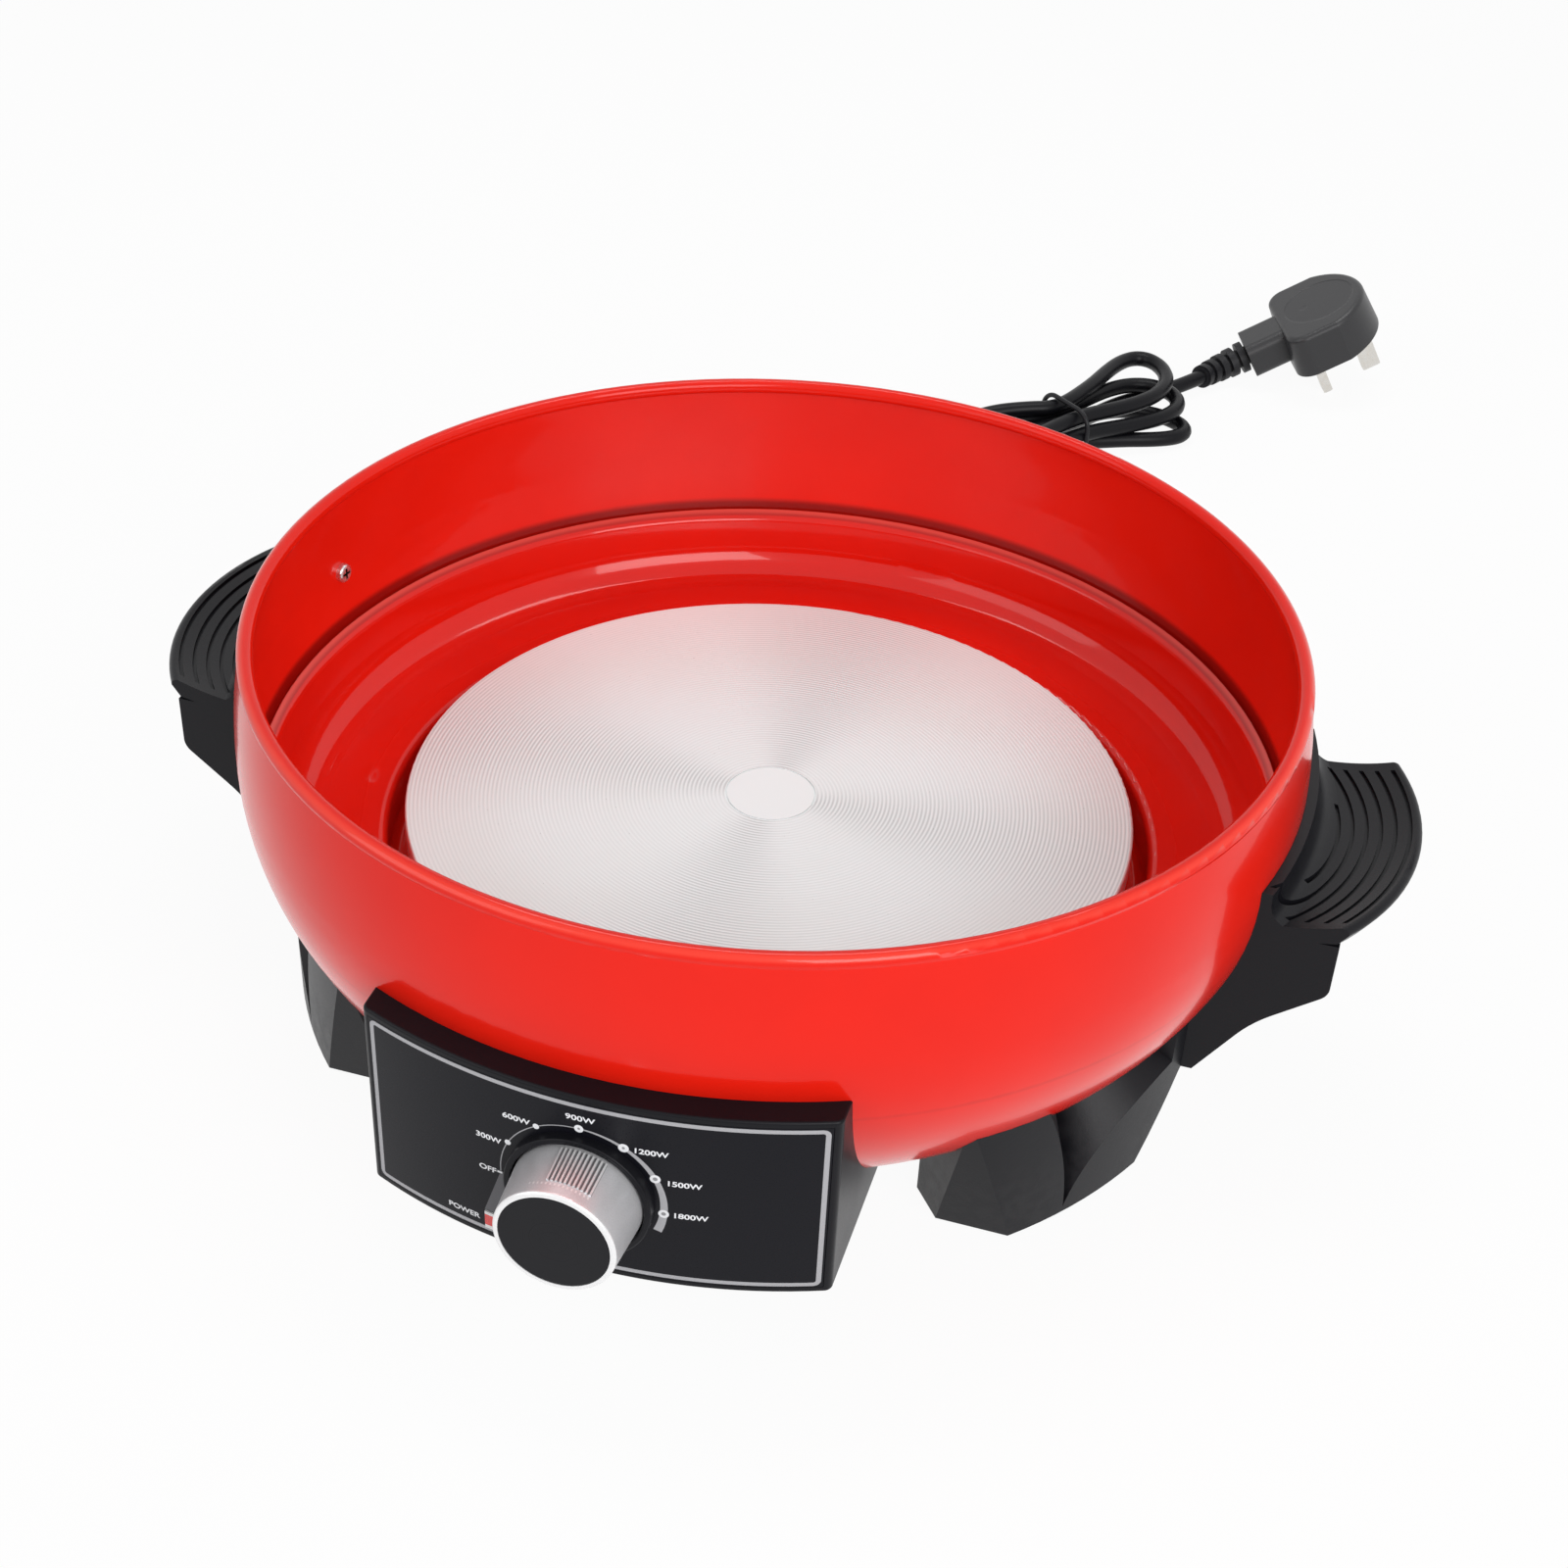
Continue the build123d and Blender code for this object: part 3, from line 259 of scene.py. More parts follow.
def finish(name, colour, roughness, metallic=0.0, **sockets):
    """New surface of one colour; returns it with its shader and its object coordinates in metres."""
    made = bpy.data.materials.new(name)
    made.use_nodes = True
    tree = made.node_tree
    shader = next(n for n in tree.nodes if n.type == "BSDF_PRINCIPLED")
    shader.inputs["Base Color"].default_value = (*colour, 1)
    shader.inputs["Roughness"].default_value = roughness
    shader.inputs["Metallic"].default_value = metallic
    for key, value in sockets.items():
        shader.inputs[key.replace("_", " ")].default_value = value
    paint = Shade(tree)
    where = paint.node("ShaderNodeTexCoord").out("Object")
    return made, shader, where


def drive(shader, **sockets):
    for key, value in sockets.items():
        shader.id_data.links.new(value.socket, shader.inputs[key.replace("_", " ")])


def grain(where, scale, detail=2.0, distortion=0.0):
    return where.node("ShaderNodeTexNoise", Vector=where, Scale=scale, Detail=detail, Distortion=distortion)


def relief(height, depth, strength=1.0):
    """Bump of a height that runs from 0 to 1, with its depth in metres."""
    return height.node("ShaderNodeBump", Height=height, Distance=depth, Strength=strength)


flex_black, shader, where = finish("flex_black", (0.004, 0.004, 0.0055), 0.32, Specular_IOR_Level=0.16)
scuffs = grain(where, 900, 3)
drive(shader, Roughness=scuffs * 0.16 + 0.28, Normal=relief(grain(where, 2600, 2), 0.04 * MM, 0.5))
cord_curve.materials.append(flex_black)
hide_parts("supply_cord", "cord_hank", "plug_cord")
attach(mains_cord, "base_unit")

# ---------------------------------------------------------------------------------------
# Twist tie: a soft wire in a black sleeve, wound once round the hank and twisted on top.
# Its two cut ends show the bare wire.
def axes(where):
    """The three coordinates of a place."""
    across = where.node("ShaderNodeSeparateXYZ", Vector=where)
    return across, across.out("Y"), across.out("Z")


def set_in(where, origin, turn):
    """The place measured from a piece's own origin, along its own axes."""
    return where.node("ShaderNodeMapping", {"vector_type": "TEXTURE"}, Vector=where, Location=origin,
                      Rotation=turn)


def dress(material, *nodes):
    for node in nodes:
        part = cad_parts[node] if isinstance(node, str) else node
        if not part.data.materials:
            part.data.materials.append(material)
        for surface in part.material_slots:
            surface.material = material


bare_from = 13.6 * MM
tie_black, shader, where = finish("tie_black", (0.008, 0.008, 0.010), 0.45, Specular_IOR_Level=0.25)
along = axes(set_in(where, hank_origin, (0, 0, hank_direction)))[0]
bare = along.maths("ABSOLUTE").over(bare_from, 0.1 * MM)
drive(shader, Base_Color=bare.blend((0.008, 0.008, 0.010, 1), (0.62, 0.61, 0.58, 1)), Metallic=bare * 0.8,
      Roughness=grain(where, 1500) * 0.2 + 0.32)
dress(tie_black, "cord_tie")

# ---------------------------------------------------------------------------------------
# Plug: three flat pins in a moulded satin body. Its back has a shallow round finger rest
# with a gate mark in it, and the fuse sits in a carrier between the pins.
def distance(first, second):
    return (first * first + second * second).maths("SQRT")


plug_origin = Vector((122.4, 462.0, 21.444)) * MM
plug_turn = (0, radians(-29), radians(20.3))
rest_radius, plug_back = 15.5 * MM, 17.5 * MM
gate_offset, gate_radius = 7 * MM, 1.6 * MM
pry_half_width, pry_half_length = 0.6 * MM, 3.5 * MM
plug_satin, shader, where = finish("plug_satin", (0.016, 0.016, 0.018), 0.38, Specular_IOR_Level=0.5)
along, across, height = axes(set_in(where, plug_origin, plug_turn))
back = height.over(plug_back, 0.3 * MM)
rest = distance(along, across).under(rest_radius, 0.5 * MM) * back
gate = distance(along + gate_offset, across).under(gate_radius, 0.3 * MM) * back
pores = grain(where, 2400, 3)
drive(shader, Roughness=pores * 0.2 + 0.28 + rest * 0.06,
      Normal=relief(pores * 0.05 - rest * 0.7 - gate * 0.4 + 1.1, 0.6 * MM, 0.8))
dress(plug_satin, "plug_body")

carrier_red, shader, where = finish("carrier_red", (0.16, 0.012, 0.010), 0.4)
along, across, _ = axes(set_in(where, plug_origin, plug_turn))
# painted shade: the pry slot is painted near black as well as cut in by bump
pry_slot_shade = along.maths("ABSOLUTE").under(pry_half_width, 0.1 * MM)
pry_slot_shade = pry_slot_shade * across.maths("ABSOLUTE").under(pry_half_length, 0.1 * MM)
drive(shader, Base_Color=pry_slot_shade.blend((0.16, 0.012, 0.010, 1), (0.02, 0.003, 0.003, 1)),
      Normal=relief(1 - pry_slot_shade + grain(where, 2500) * 0.04, 0.5 * MM, 0.7))
dress(carrier_red, "fuse_carrier")

pin_metal, shader, where = finish("pin_metal", (0.70, 0.69, 0.67), 0.28, 0.8)
rubbed = grain(where, 420, 4)
drawn = where.node("ShaderNodeMapping", Vector=where, Scale=(2600, 2600, 240))
drive(shader, Base_Color=rubbed.blend((0.74, 0.73, 0.71, 1), (0.62, 0.59, 0.53, 1)),
      Roughness=rubbed * 0.3 + 0.16, Normal=relief(grain(drawn, 1.0), 0.01 * MM, 0.6))
dress(pin_metal, "plug_line_pins", "plug_earth_pin")

sleeve_rubber, shader, where = finish("sleeve_rubber", (0.010, 0.010, 0.012), 0.5, Specular_IOR_Level=0.25)
dust = grain(where, 700, 4)
drive(shader, Base_Color=dust.over(0.62, 0.12).blend((0.009, 0.009, 0.011, 1), (0.022, 0.022, 0.024, 1)),
      Roughness=dust * 0.25 + 0.38, Normal=relief(grain(where, 3200), 0.03 * MM, 0.5))
dress(sleeve_rubber, "plug_sleeve", "cord_gland")

# ---------------------------------------------------------------------------------------
# Outer shell and inner dish: deep-drawn steel in red vitreous enamel. The fired glass has
# a faint orange peel, runs thin over the rolled rim and the dish's ledge, which are also painted
# lighter as a painted highlight, and dulls near the heat. A band where the dish meets the wall
# is painted dark as painted shade, and the whole dish is painted darker than the shell as painted shade.
enamel_red = (0.83, 0.0135, 0.0045, 1)
enamel_thin_highlight = (0.92, 0.055, 0.030, 1)
enamel_deep_and_shade = (0.66, 0.0075, 0.0034, 1)
seam_low, seam_high = 66.2 * MM, 70.2 * MM
seam_inside, seam_outside = 146.6 * MM, 150.6 * MM
enamel_seam_shade = (0.16, 0.0020, 0.0015, 1)


def enamel(name, edge_height, edge_radius, warm_radius, gloss, depth):
    """Red enamel, thin and painted lighter as a highlight above one height and radius, dulled inside another
    radius, and painted darker by depth and at the seam as painted shade.
    """
    made, shader, where = finish(name, enamel_red[:3], 0.2, Specular_IOR_Level=0.1,
                                 Coat_Roughness=0.05, Coat_IOR=1.42)
    x, y, z = axes(where)
    radius = distance(x, y)
    # painted highlight, where the enamel also runs thin: the top edge (rim on the shell, ledge on the dish)
    # is painted lighter
    edge = z.over(edge_height, 0.5 * MM) * radius.over(edge_radius, 0.8 * MM)
    # random darker patches of enamel, raised by depth, which is painted shade that darkens the whole surface
    # towards the deep red
    cloud = grain(where, 28, 3).over(0.56, 0.3) * 0.3 + depth
    body = cloud.blend(enamel_red, enamel_deep_and_shade)
    # painted shade: a dark band where the dish meets the wall
    seam_shade = z.between(seam_low, seam_high, 1.3 * MM) * radius.between(seam_inside, seam_outside, 0.3 * MM)
    body = (seam_shade * 0.8).blend(body, enamel_seam_shade)
    warm = radius.under(warm_radius, 3 * MM)
    drive(shader, Base_Color=(edge * 0.7).blend(body, enamel_thin_highlight),
          Roughness=grain(where, 60, 3) * 0.08 + 0.17 + warm * 0.12,
          Coat_Weight=gloss - warm * 0.10 + edge * 0.3,
          Normal=relief(grain(where, 340, 2) + grain(where, 900) * 0.25, 0.011 * MM))
    return made


dress(enamel("shell_enamel", 115.6 * MM, 148.5 * MM, 20 * MM, 0.3, 0.0), "outer_shell")
# depth 0.4 paints the dish darker than the shell: painted shade
dress(enamel("dish_enamel", 66.6 * MM, 143.6 * MM, 121 * MM, 0.65, 0.4), "inner_dish")

# ---------------------------------------------------------------------------------------
# Heating plate: cast aluminium, faced on a lathe. The tool leaves fine rings a millimetre
# apart round a small plain disc, and use stains it a little towards its edge. The ring
# grooves are painted darker as painted shade, most strongly in four fans of painted light
# round the centre.
def line_grain(value, scale):
    """Noise along one line, as a tool leaves it."""
    return value.node("ShaderNodeTexNoise", {"noise_dimensions": "1D"}, W=value * scale, Scale=1.0,
                      Detail=2.0)


ring_pitch = 1.2 * MM
disc_radius, faced_height = 13.2 * MM, 54 * MM
stained_from, stained_over = 70 * MM, 34 * MM
plate_metal, shader, where = finish("plate_metal", (0.84, 0.85, 0.85), 0.3, 0.22, Specular_IOR_Level=0.2)
x, y, z = axes(where)
radius = distance(x, y)
faced = radius.over(disc_radius, 0.12 * MM) * z.over(faced_height, 0.2 * MM)
groove = ((radius + grain(where, 30) * 0.12 * MM) * (2 * pi / ring_pitch)).maths("SINE") * 0.5 + 0.5
chatter = line_grain(radius, 2600)
stain = grain(where, 22, 4).over(0.55, 0.2) * 0.5 + radius.over(stained_from, stained_over) * 0.35
stain = stain.maths("MINIMUM", 1.0)
cast = grain(where, 750, 3)
lathe = (groove * 0.75 + chatter * 0.25) * faced
# painted light and shade: the grooves are painted darker, most strongly in four fans like the highlight of a
# turned face
painted_fans = (x.maths("ARCTAN2", y) * 4).maths("COSINE") * 0.5 + 0.5
turned = (1 - groove) * faced * (painted_fans * painted_fans * 0.75 + 0.25)
bright = stain.blend((0.90, 0.94, 0.945, 1), (0.87, 0.89, 0.875, 1))
drive(shader, Base_Color=(turned * 0.8).blend(bright, (0.54, 0.56, 0.565, 1)),
      Roughness=faced * -0.06 + cast * 0.14 + 0.29 + groove * faced * 0.05,
      Normal=relief(lathe + (1 - faced) * cast * 0.4, 0.045 * MM))
dress(plate_metal, "heating_plate")

# ---------------------------------------------------------------------------------------
# Heating element: a sheathed ring cast under the plate, its pins brought out through
# ceramic beads. The sheath is scaled brown and blue by the heat.
def ramp(value, *stops):
    """Colour through several stops of (value, colour)."""
    return value.node("ShaderNodeValToRGB", {"stops": stops}, Fac=value)


sheath_scale, shader, where = finish("sheath_scale", (0.22, 0.19, 0.17), 0.5, 0.7)
tint = grain(where, 95, 4, 0.6)
burnt = ramp(tint, (0.32, (0.10, 0.085, 0.075, 1)), (0.5, (0.27, 0.21, 0.16, 1)),
             (0.66, (0.17, 0.19, 0.24, 1)))
drive(shader, Base_Color=burnt, Roughness=tint * 0.4 + 0.3,
      Normal=relief(grain(where, 1300, 4), 0.05 * MM, 0.6))
dress(sheath_scale, "heating_element")

steatite, shader, where = finish("steatite", (0.78, 0.76, 0.71), 0.55)
chalk = grain(where, 1100, 4)
drive(shader, Base_Color=chalk.over(0.58, 0.1).blend((0.80, 0.78, 0.73, 1), (0.66, 0.62, 0.55, 1)),
      Normal=relief(chalk, 0.04 * MM, 0.6))
dress(steatite, "element_beads", "thermal_cutout")

# ---------------------------------------------------------------------------------------
# Studs, spacers, nuts and screws: bright zinc on steel, turned or rolled, with a slight
# blue and straw cast and drawn marks.
zinc, shader, where = finish("zinc", (0.72, 0.72, 0.73), 0.27, 0.92)
cast = grain(where, 260, 3, 0.4)
marks = where.node("ShaderNodeMapping", Vector=where, Scale=(900, 900, 5200))
plating = ramp(cast, (0.35, (0.68, 0.70, 0.75, 1)), (0.52, (0.74, 0.74, 0.74, 1)),
               (0.68, (0.76, 0.73, 0.64, 1)))
drive(shader, Base_Color=plating, Roughness=cast * 0.22 + 0.16,
      Normal=relief(grain(marks, 1.0), 0.012 * MM, 0.7))
dress(zinc, "plate_studs", "plate_spacers", "shield_spacers", "plate_nuts", "element_pins", "base_screws",
      "housing_screws", "panel_nut", "earth_tag", "cutout_strap")

# ---------------------------------------------------------------------------------------
# Heat shield: a dished disc of aluminised sheet under the plate. It keeps the mill's flat
# grey bloom, with rolling lines all one way.
aluminised, shader, where = finish("aluminised", (0.62, 0.62, 0.61), 0.42, 0.85)
bloom = grain(where, 160, 5, 1.2)
rolled = where.node("ShaderNodeMapping", Vector=where, Scale=(60, 3400, 60))
drive(shader, Base_Color=bloom.blend((0.56, 0.56, 0.55, 1), (0.68, 0.68, 0.68, 1)),
      Roughness=bloom * 0.3 + 0.28, Normal=relief(grain(rolled, 1.0), 0.01 * MM, 0.5))
dress(aluminised, "heat_shield")

# ---------------------------------------------------------------------------------------
# Base cover: pressed sheet in satin black powder coat, held under the shell by four
# screws. The coat has a fine pebble and is rubbed lighter on its rolled edge.
cover_edge = 106.5 * MM
powder_black, shader, where = finish("powder_black", (0.022, 0.022, 0.024), 0.42)
x, y, _ = axes(where)
pebble = where.node("ShaderNodeTexVoronoi", {"feature": "SMOOTH_F1"}, Vector=where, Scale=900.0)
rub = distance(x, y).over(cover_edge, 0.8 * MM) * grain(where, 500, 3).over(0.5, 0.15)
drive(shader, Base_Color=rub.blend((0.022, 0.022, 0.024, 1), (0.075, 0.075, 0.078, 1)),
      Roughness=grain(where, 90, 3) * 0.16 + 0.36, Normal=relief(pebble, 0.09 * MM, 0.6))
dress(powder_black, "base_cover")

# ---------------------------------------------------------------------------------------
# Handles with their feet: black phenolic mouldings with a fine spark-eroded skin, worn
# smoother on the dished grips and dusty in the arches. Rubber pads are pressed into the feet.
grip_height, arch_height = 78 * MM, 22 * MM
phenolic_black = (0.0065, 0.0065, 0.0085)
phenolic, shader, where = finish("phenolic", phenolic_black, 0.36, Specular_IOR_Level=0.17)
z = axes(where)[2]
spark = grain(where, 2100, 3)
thumbed = z.over(grip_height, 4 * MM)
dusty = z.under(arch_height, 12 * MM) * grain(where, 260, 5).over(0.5, 0.14)
drive(shader, Base_Color=(dusty * 0.3).blend((*phenolic_black, 1), (0.030, 0.030, 0.032, 1)),
      Roughness=spark * 0.14 + 0.30 - thumbed * 0.05 + dusty * 0.06,
      Normal=relief(spark + grain(where, 700, 2) * 0.6, 0.028 * MM, 0.8))
dress(phenolic, "right_handle", "left_handle")


def most(first, *others):
    """The largest of several masks."""
    for other in others:
        first = first.maths("MAXIMUM", other)
    return first


# the screws stand at one angle either side of each grip's middle, so one quarter of the
# object gives the place of every cross
screw_turn = radians(9.9)
screw_height = 84.7 * MM
arm_half, arm_reach = 0.45 * MM, 1.8 * MM
cross_screw, shader, where = finish("cross_screw", (0.70, 0.70, 0.71), 0.25, 0.92)
x, y, z = axes(where)
beside = (x.maths("ABSOLUTE") * sin(screw_turn) - y.maths("ABSOLUTE") * cos(screw_turn)).maths("ABSOLUTE")
above = (z - screw_height).maths("ABSOLUTE")
upright = beside.under(arm_half, 0.1 * MM) * above.under(arm_reach, 0.15 * MM)
level = above.under(arm_half, 0.1 * MM) * beside.under(arm_reach, 0.15 * MM)
# painted shade: the cross recess of each screw head is painted near black
cross_recess_shade = most(upright, level)
marks = grain(where, 900, 3)
drive(shader, Base_Color=cross_recess_shade.blend((0.70, 0.70, 0.71, 1), (0.05, 0.045, 0.045, 1)),
      Roughness=marks * 0.2 + 0.16, Normal=relief(marks, 0.012 * MM, 0.7))
dress(cross_screw, "handle_screws")

pad_rubber, shader, where = finish("pad_rubber", (0.022, 0.022, 0.024), 0.7)
lint = grain(where, 1900, 4)
drive(shader, Base_Color=lint.over(0.62, 0.08).blend((0.020, 0.020, 0.022, 1), (0.060, 0.060, 0.060, 1)),
      Normal=relief(grain(where, 1200, 3), 0.06 * MM, 0.7))
dress(pad_rubber, "foot_pads")

# ---------------------------------------------------------------------------------------
# Control housing: black moulding screwed to the front of the shell, with a satin fascia
# set into it. A ring round the knob is part of the moulding's finish.
panel_black = (0.0055, 0.0055, 0.0085)
panel_satin, shader, where = finish("panel_satin", panel_black, 0.33, Specular_IOR_Level=0.13)
fine = grain(where, 2600, 2)
faint = grain(where, 40, 3)
drive(shader, Base_Color=faint.blend((0.0055, 0.0055, 0.0075, 1), (0.0085, 0.0085, 0.011, 1)),
      Roughness=fine * 0.12 + faint * 0.1 + 0.24, Normal=relief(fine, 0.010 * MM, 0.7))
dress(panel_satin, "control_housing", "knob_bezel")

# ---------------------------------------------------------------------------------------
# Fascia: a thin moulded strip, printed in silver and white before it is fitted: a frame
# line, the dial's rising scale with a dot at each setting, and a bar down to the lamp.
dial_height = 42 * MM
scale_radius = 21.6 * MM
frame_across, frame_low, frame_high = 59.5 * MM, 18.0 * MM, 71.0 * MM
corner = 1.3 * MM
line_half = 0.62 * MM
scale_start, scale_end = radians(-93), radians(112)
scale_growth, scale_half, thin_half = 0.95 * MM, 0.18 * MM, 0.13 * MM
# the bar leans: its two edges start at these places at its top and draw in by these slopes
bar_top, bar_foot = 40.6 * MM, 24.6 * MM
bar_left_edge, bar_left_slope, bar_right_edge, bar_right_slope = 21.6 * MM, 0.327, 18.5 * MM, 0.094
dash_left, dash_right, dash_low, dash_high = -22.6 * MM, -21.2 * MM, 39.9 * MM, 40.6 * MM
# each setting's angle from the top, with the radius of its dot and of the grey heart in it
settings = [(-63.3, 0.85, 0), (-31.7, 0.85, 0), (0, 1.2, 0.35), (31.7, 1.35, 0.4), (63.3, 1.35, 0.6),
            (95, 1.35, 0.6)]
print_grey = (0.30, 0.30, 0.315, 1)
print_silver = (0.42, 0.42, 0.44, 1)
print_white = (0.86, 0.87, 0.90, 1)
fascia_print, shader, where = finish("fascia_print", panel_black, 0.3, Specular_IOR_Level=0.13)
x, y, z = axes(where)
beside = (x.maths("ABSOLUTE") - (frame_across - corner)).maths("MAXIMUM", 0.0)
above = ((z - (frame_low + frame_high) / 2).maths("ABSOLUTE") - ((frame_high - frame_low) / 2 - corner))
above = above.maths("MAXIMUM", 0.0)
frame_line = (distance(beside, above) - corner).maths("ABSOLUTE").under(line_half, 0.05 * MM)
up = z - dial_height
out = distance(x, up)
dial_angle = x.maths("ARCTAN2", up)
rising = dial_angle.over(0, 0.002) * dial_angle.under(scale_end, 0.004)
scale_band = (out - scale_radius).maths("ABSOLUTE") - dial_angle * (scale_growth / scale_end) - scale_half
scale_band = scale_band.under(0, 0.05 * MM) * rising
thin_line = (out - scale_radius).maths("ABSOLUTE").under(thin_half, 0.05 * MM) * dial_angle.under(0, 0.002)
thin_line = thin_line * dial_angle.over(scale_start, 0.004)
below_top = bar_top - z
bar_left = x + bar_left_edge + below_top * bar_left_slope
bar_right = x + bar_right_edge + below_top * bar_right_slope
bar = bar_left.over(0, 0.05 * MM) * bar_right.under(0, 0.05 * MM) * z.between(bar_foot, bar_top)
dots, hearts = [], []
for angle, dot, heart in settings:
    spot = distance(x - scale_radius * sin(radians(angle)), up - scale_radius * cos(radians(angle)))
    dots.append(spot.under(dot * MM, 0.06 * MM))
    hearts.append(spot.under(heart * MM, 0.1 * MM))
dots, hearts = most(*dots), most(*hearts)
dash = x.between(dash_left, dash_right) * z.between(dash_low, dash_high)
ink = most(frame_line, scale_band, thin_line)
colour = ink.blend((*panel_black, 1), print_silver)
colour = bar.blend(colour, (0.14, 0.14, 0.15, 1))
colour = most(dots, dash).blend(colour, print_white)
colour = hearts.blend(colour, print_grey)
inked = most(ink, dots, bar)
fine = grain(where, 2600, 2)
drive(shader, Base_Color=colour, Roughness=fine * 0.1 + 0.24 + inked * 0.12, Metallic=frame_line * 0.25,
      Normal=relief(fine * 0.3 + inked * 0.7, 0.02 * MM, 0.7))
dress(fascia_print, "control_fascia")

# ---------------------------------------------------------------------------------------
# Dial words: white pad print on the curved fascia, one film of ink for each setting.
fascia_radius = 159.5 * MM
ink_film = 0.04 * MM
letter_height = 1.75 * MM
stroke_weight, stroke_depth = 0.022, 0.02
dial_words = [("OFF", -25.3, 40.1, 4.9), ("300W", -24.7, 51.0, 7.2), ("600W", -16.7, 60.9, 7.6),
              ("900W", 0.4, 67.0, 7.7), ("1200W", 18.4, 60.3, 8.4), ("1500W", 26.7, 50.9, 8.4),
              ("1800W", 28.4, 40.1, 8.4), ("POWER", -33.0, 21.3, 9.4)]
films = []
for words, across, height, width in dial_words:
    bpy.ops.object.select_all(action="DESELECT")
    bpy.ops.object.text_add()
    film = bpy.context.object
    film.data.body = words
    film.data.offset = stroke_weight
    film.data.extrude = stroke_depth
    bpy.ops.object.convert(target="MESH")
    film = bpy.context.object
    left, low = min(v.co.x for v in film.data.vertices), min(v.co.y for v in film.data.vertices)
    wide = max(v.co.x for v in film.data.vertices) - left
    tall = max(v.co.y for v in film.data.vertices) - low
    for vertex in film.data.vertices:
        x = (across + ((vertex.co.x - left) / wide - 0.5) * width) * MM
        z = height * MM + ((vertex.co.y - low) / tall - 0.5) * letter_height
        y = -sqrt(fascia_radius ** 2 - x ** 2) - (ink_film if vertex.co.z > 0 else 0)
        vertex.co = (x, y, z)
    films.append(film)
bpy.ops.object.select_all(action="DESELECT")
for film in films:
    film.select_set(True)
bpy.context.view_layer.objects.active = films[0]
bpy.ops.object.join()
dial_print = bpy.context.object
dial_print.name = "dial_print"
dial_ink, shader, where = finish("dial_ink", print_white[:3], 0.45)
drive(shader, Base_Color=grain(where, 3000, 2).over(0.66, 0.05).blend(print_white, (0.60, 0.61, 0.64, 1)),
      Normal=relief(grain(where, 4000), 0.01 * MM, 0.5))
dress(dial_ink, dial_print)
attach(dial_print, "base_unit")

# ---------------------------------------------------------------------------------------
# Lamp window: a red lens pushed through the fascia, white at its top and bottom ends, with
# a small neon lamp in a nylon holder behind it.
lens_low, lens_high = 19.7 * MM, 23.4 * MM
reed_pitch = 0.7 * MM
lens_cast, shader, where = finish("lens_cast", (0.72, 0.03, 0.02), 0.12, Coat_Weight=0.5,
                                  Coat_Roughness=0.05)
x, _, z = axes(where)
middle = z.between(lens_low, lens_high, 0.08 * MM)
reeds = (x * (2 * pi / reed_pitch)).maths("SINE") * 0.5 + 0.5
drive(shader, Base_Color=middle.blend((0.80, 0.80, 0.80, 1), (0.76, 0.022, 0.016, 1)),
      Roughness=0.35 - middle * 0.2, Normal=relief(reeds * middle, 0.05 * MM, 0.4))
dress(lens_cast, "indicator_lens")

lamp_offset, rod_near, rod_far = 23 * MM, 0.5 * MM, 1.1 * MM
neon_glass, shader, where = finish("neon_glass", (0.95, 0.85, 0.78), 0.05, Transmission_Weight=0.85, IOR=1.5)
rods = (axes(where)[0] + lamp_offset).maths("ABSOLUTE").between(rod_near, rod_far, 0.1 * MM)
drive(shader, Base_Color=rods.blend((0.95, 0.87, 0.80, 1), (0.42, 0.40, 0.38, 1)), Metallic=rods * 0.7,
      Roughness=rods * 0.3 + 0.04)
dress(neon_glass, "indicator_lamp")

nylon, shader, where = finish("nylon", (0.80, 0.80, 0.77), 0.42)
cloud = grain(where, 300, 4)
drive(shader, Base_Color=cloud.blend((0.82, 0.82, 0.80, 1), (0.74, 0.73, 0.68, 1)),
      Normal=relief(grain(where, 2000, 2), 0.015 * MM, 0.6))
dress(nylon, "lamp_holder")

# ---------------------------------------------------------------------------------------
# Power regulator: a bimetal switch in a brown phenolic case, with a plated bush and a
# turned steel shaft that the knob is pushed on to.
bush_radius, bush_root, thread_pitch = 4.9 * MM, -152 * MM, 0.75 * MM
brown_phenolic, shader, where = finish("brown_phenolic", (0.055, 0.026, 0.014), 0.4)
x, y, z = axes(where)
filler = grain(where, 640, 5, 0.8)
plated = distance(x, z - dial_height).under(bush_radius, 0.1 * MM) * y.under(bush_root, 0.2 * MM)
thread = (y * (2 * pi / thread_pitch)).maths("SINE") * 0.5 + 0.5
case = filler.blend((0.045, 0.020, 0.011, 1), (0.10, 0.055, 0.032, 1))
drive(shader, Base_Color=plated.blend(case, (0.72, 0.70, 0.66, 1)), Metallic=plated * 0.9,
      Roughness=filler * 0.2 + 0.3,
      Normal=relief(thread * plated + (1 - plated) * filler * 0.2, 0.12 * MM, 0.6))
dress(brown_phenolic, "regulator_body")

turned_steel, shader, where = finish("turned_steel", (0.66, 0.66, 0.67), 0.3, 0.95)
turning = line_grain(axes(where)[1], 5200)
drive(shader, Roughness=turning * 0.2 + 0.2, Normal=relief(turning, 0.02 * MM, 0.6))
dress(turned_steel, "regulator_shaft", "knob_spring")

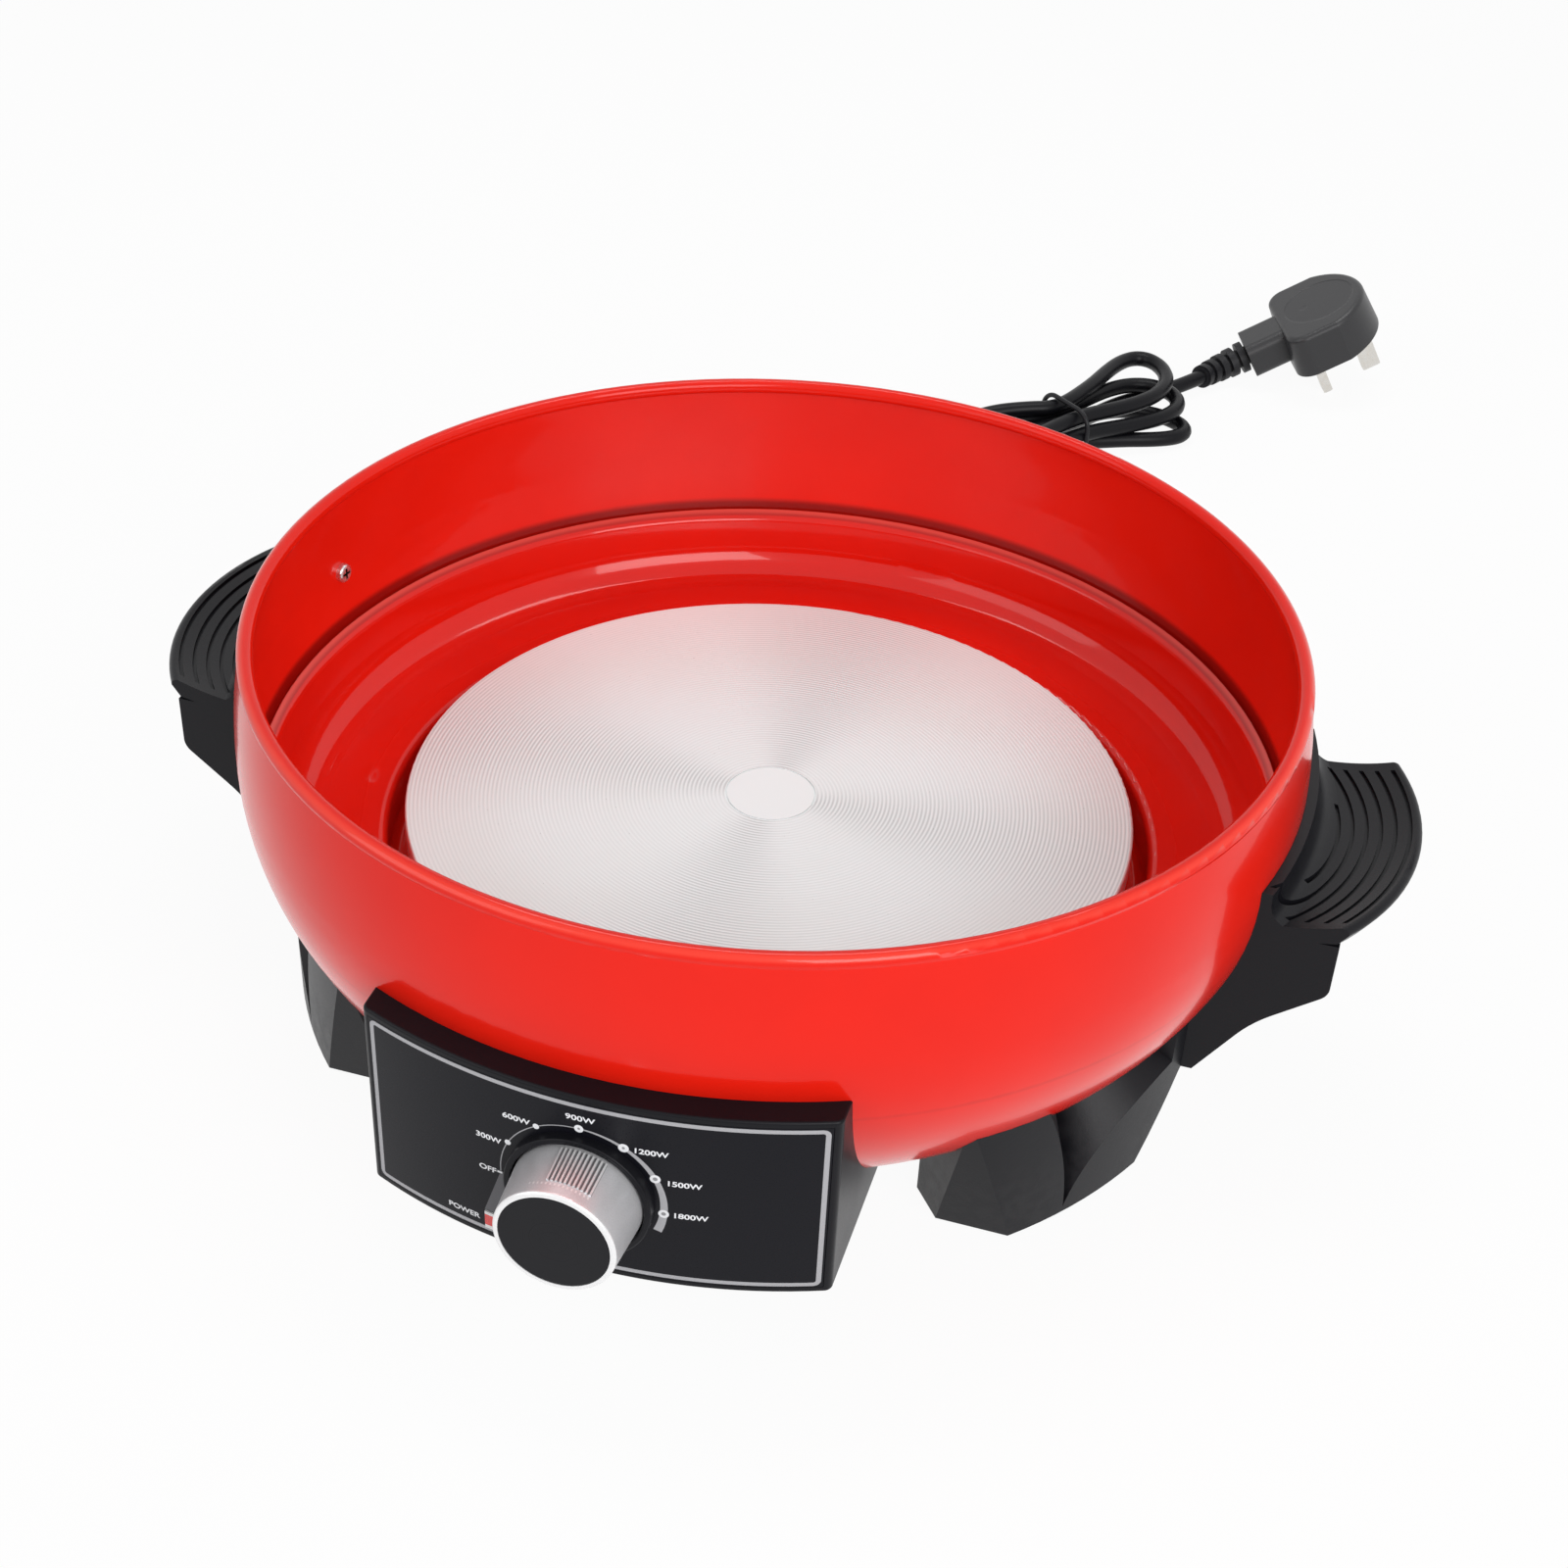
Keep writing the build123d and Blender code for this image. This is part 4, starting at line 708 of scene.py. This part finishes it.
# ---------------------------------------------------------------------------------------
# Knob: moulded, sprayed satin silver, with ribs for the fingers on its top side, a bright
# rim and a flat black cap let into its face. The rib valleys carry painted shade, and the rib
# crests and pips carry a painted highlight.
knob_rest, rib_pitch, rib_span, pip_start = radians(9), radians(3.9), radians(21.2), radians(-37)
rib_front, rib_back = -172.9 * MM, -162.5 * MM
pip_front, pip_back, rim_front = -174.2 * MM, -173.5 * MM, -176.4 * MM
silver_paint, shader, where = finish("silver_paint", (0.70, 0.70, 0.72), 0.36, 0.45, Specular_IOR_Level=0.5)
x, y, z = axes(where)
swing = x.maths("ARCTAN2", z - dial_height) - knob_rest
comb = (swing * (2 * pi / rib_pitch)).maths("COSINE") * 0.5 + 0.5
ribbed = swing.maths("ABSOLUTE").under(rib_span, 0.004) * y.between(rib_front, rib_back, 0.1 * MM)
pips = swing.between(pip_start, rib_span, 0.004) * y.between(pip_front, pip_back, 0.1 * MM)
# painted shade in the rib valleys and a painted highlight on the rib crests and pips
rib_valley_shade = (1 - comb) * ribbed
rib_crest_highlight = comb.over(0.62, 0.15) * most(ribbed, pips)
flake = where.node("ShaderNodeTexVoronoi", Vector=where, Scale=5200.0)
sparkle = flake.out("Distance").over(0.55, 0.2)
rim = y.under(rim_front, 0.2 * MM)
paint = sparkle.blend((0.70, 0.70, 0.72, 1), (0.62, 0.62, 0.64, 1))
paint = rib_valley_shade.blend(paint, (0.22, 0.22, 0.23, 1))
paint = most(rib_crest_highlight, rim).blend(paint, (0.88, 0.88, 0.89, 1))
drive(shader, Base_Color=paint,
      Roughness=grain(where, 500, 3) * 0.1 + 0.30 - rim * 0.12,
      Normal=relief(sparkle * (1 - rim), 0.006 * MM, 0.6))
dress(silver_paint, "knob_body")

cap_black, shader, where = finish("cap_black", panel_black, 0.3, Specular_IOR_Level=0.13)
x, _, z = axes(where)
spun = line_grain(distance(x, z - dial_height), 4200)
drive(shader, Base_Color=spun.blend((0.0075, 0.0075, 0.0095, 1), (0.0115, 0.0115, 0.014, 1)),
      Roughness=spun * 0.14 + 0.24, Normal=relief(spun, 0.004 * MM, 0.6))
dress(cap_black, "knob_cap")

# ---------------------------------------------------------------------------------------
# Wiring: a three-way terminal block with brass clamps, and PVC leads from it to the
# regulator, the lamp, the cut-out and the element.
pole_pitch, pole_radius = 10 * MM, 2.5 * MM
block_y = 99 * MM
block_white, shader, where = finish("block_white", (0.78, 0.78, 0.75), 0.4)
x, y, _ = axes(where)
lateral = x.maths("ABSOLUTE")
pole = most(*(distance(lateral - offset, y - block_y).under(pole_radius, 0.1 * MM)
              for offset in (0, pole_pitch)))
cloud = grain(where, 260, 4)
body = cloud.blend((0.80, 0.80, 0.77, 1), (0.70, 0.69, 0.64, 1))
drive(shader, Base_Color=pole.blend(body, (0.58, 0.42, 0.18, 1)),
      Metallic=pole * 0.9, Roughness=cloud * 0.2 + 0.3, Normal=relief(grain(where, 1800), 0.02 * MM, 0.6))
dress(block_white, "terminal_block")


def lead_cover(name, colour, stripe=None, stripe_pitch=1.6 * MM):
    """Thin PVC insulation, with a second colour in stripes on an earth wire."""
    made, shader, where = finish(name, colour, 0.36)
    rub = grain(where, 800, 3)
    paint = rub.blend((*colour, 1), (*[c * 0.7 for c in colour], 1))
    if stripe:
        x, y, _ = axes(where)
        band = ((x + y * 0.3) * (2 * pi / stripe_pitch)).maths("SINE").over(0, 0.1)
        paint = band.blend(paint, (*stripe, 1))
    drive(shader, Base_Color=paint, Roughness=rub * 0.2 + 0.26, Normal=relief(rub, 0.02 * MM, 0.6))
    return made


dress(lead_cover("lead_brown", (0.12, 0.045, 0.018)), "live_tail", "live_lead", "element_lead", "lamp_lead")
dress(lead_cover("lead_blue", (0.02, 0.10, 0.42)), "neutral_tail", "neutral_lead")
dress(lead_cover("lead_green", (0.03, 0.30, 0.05), (0.75, 0.62, 0.03)), "earth_tail")
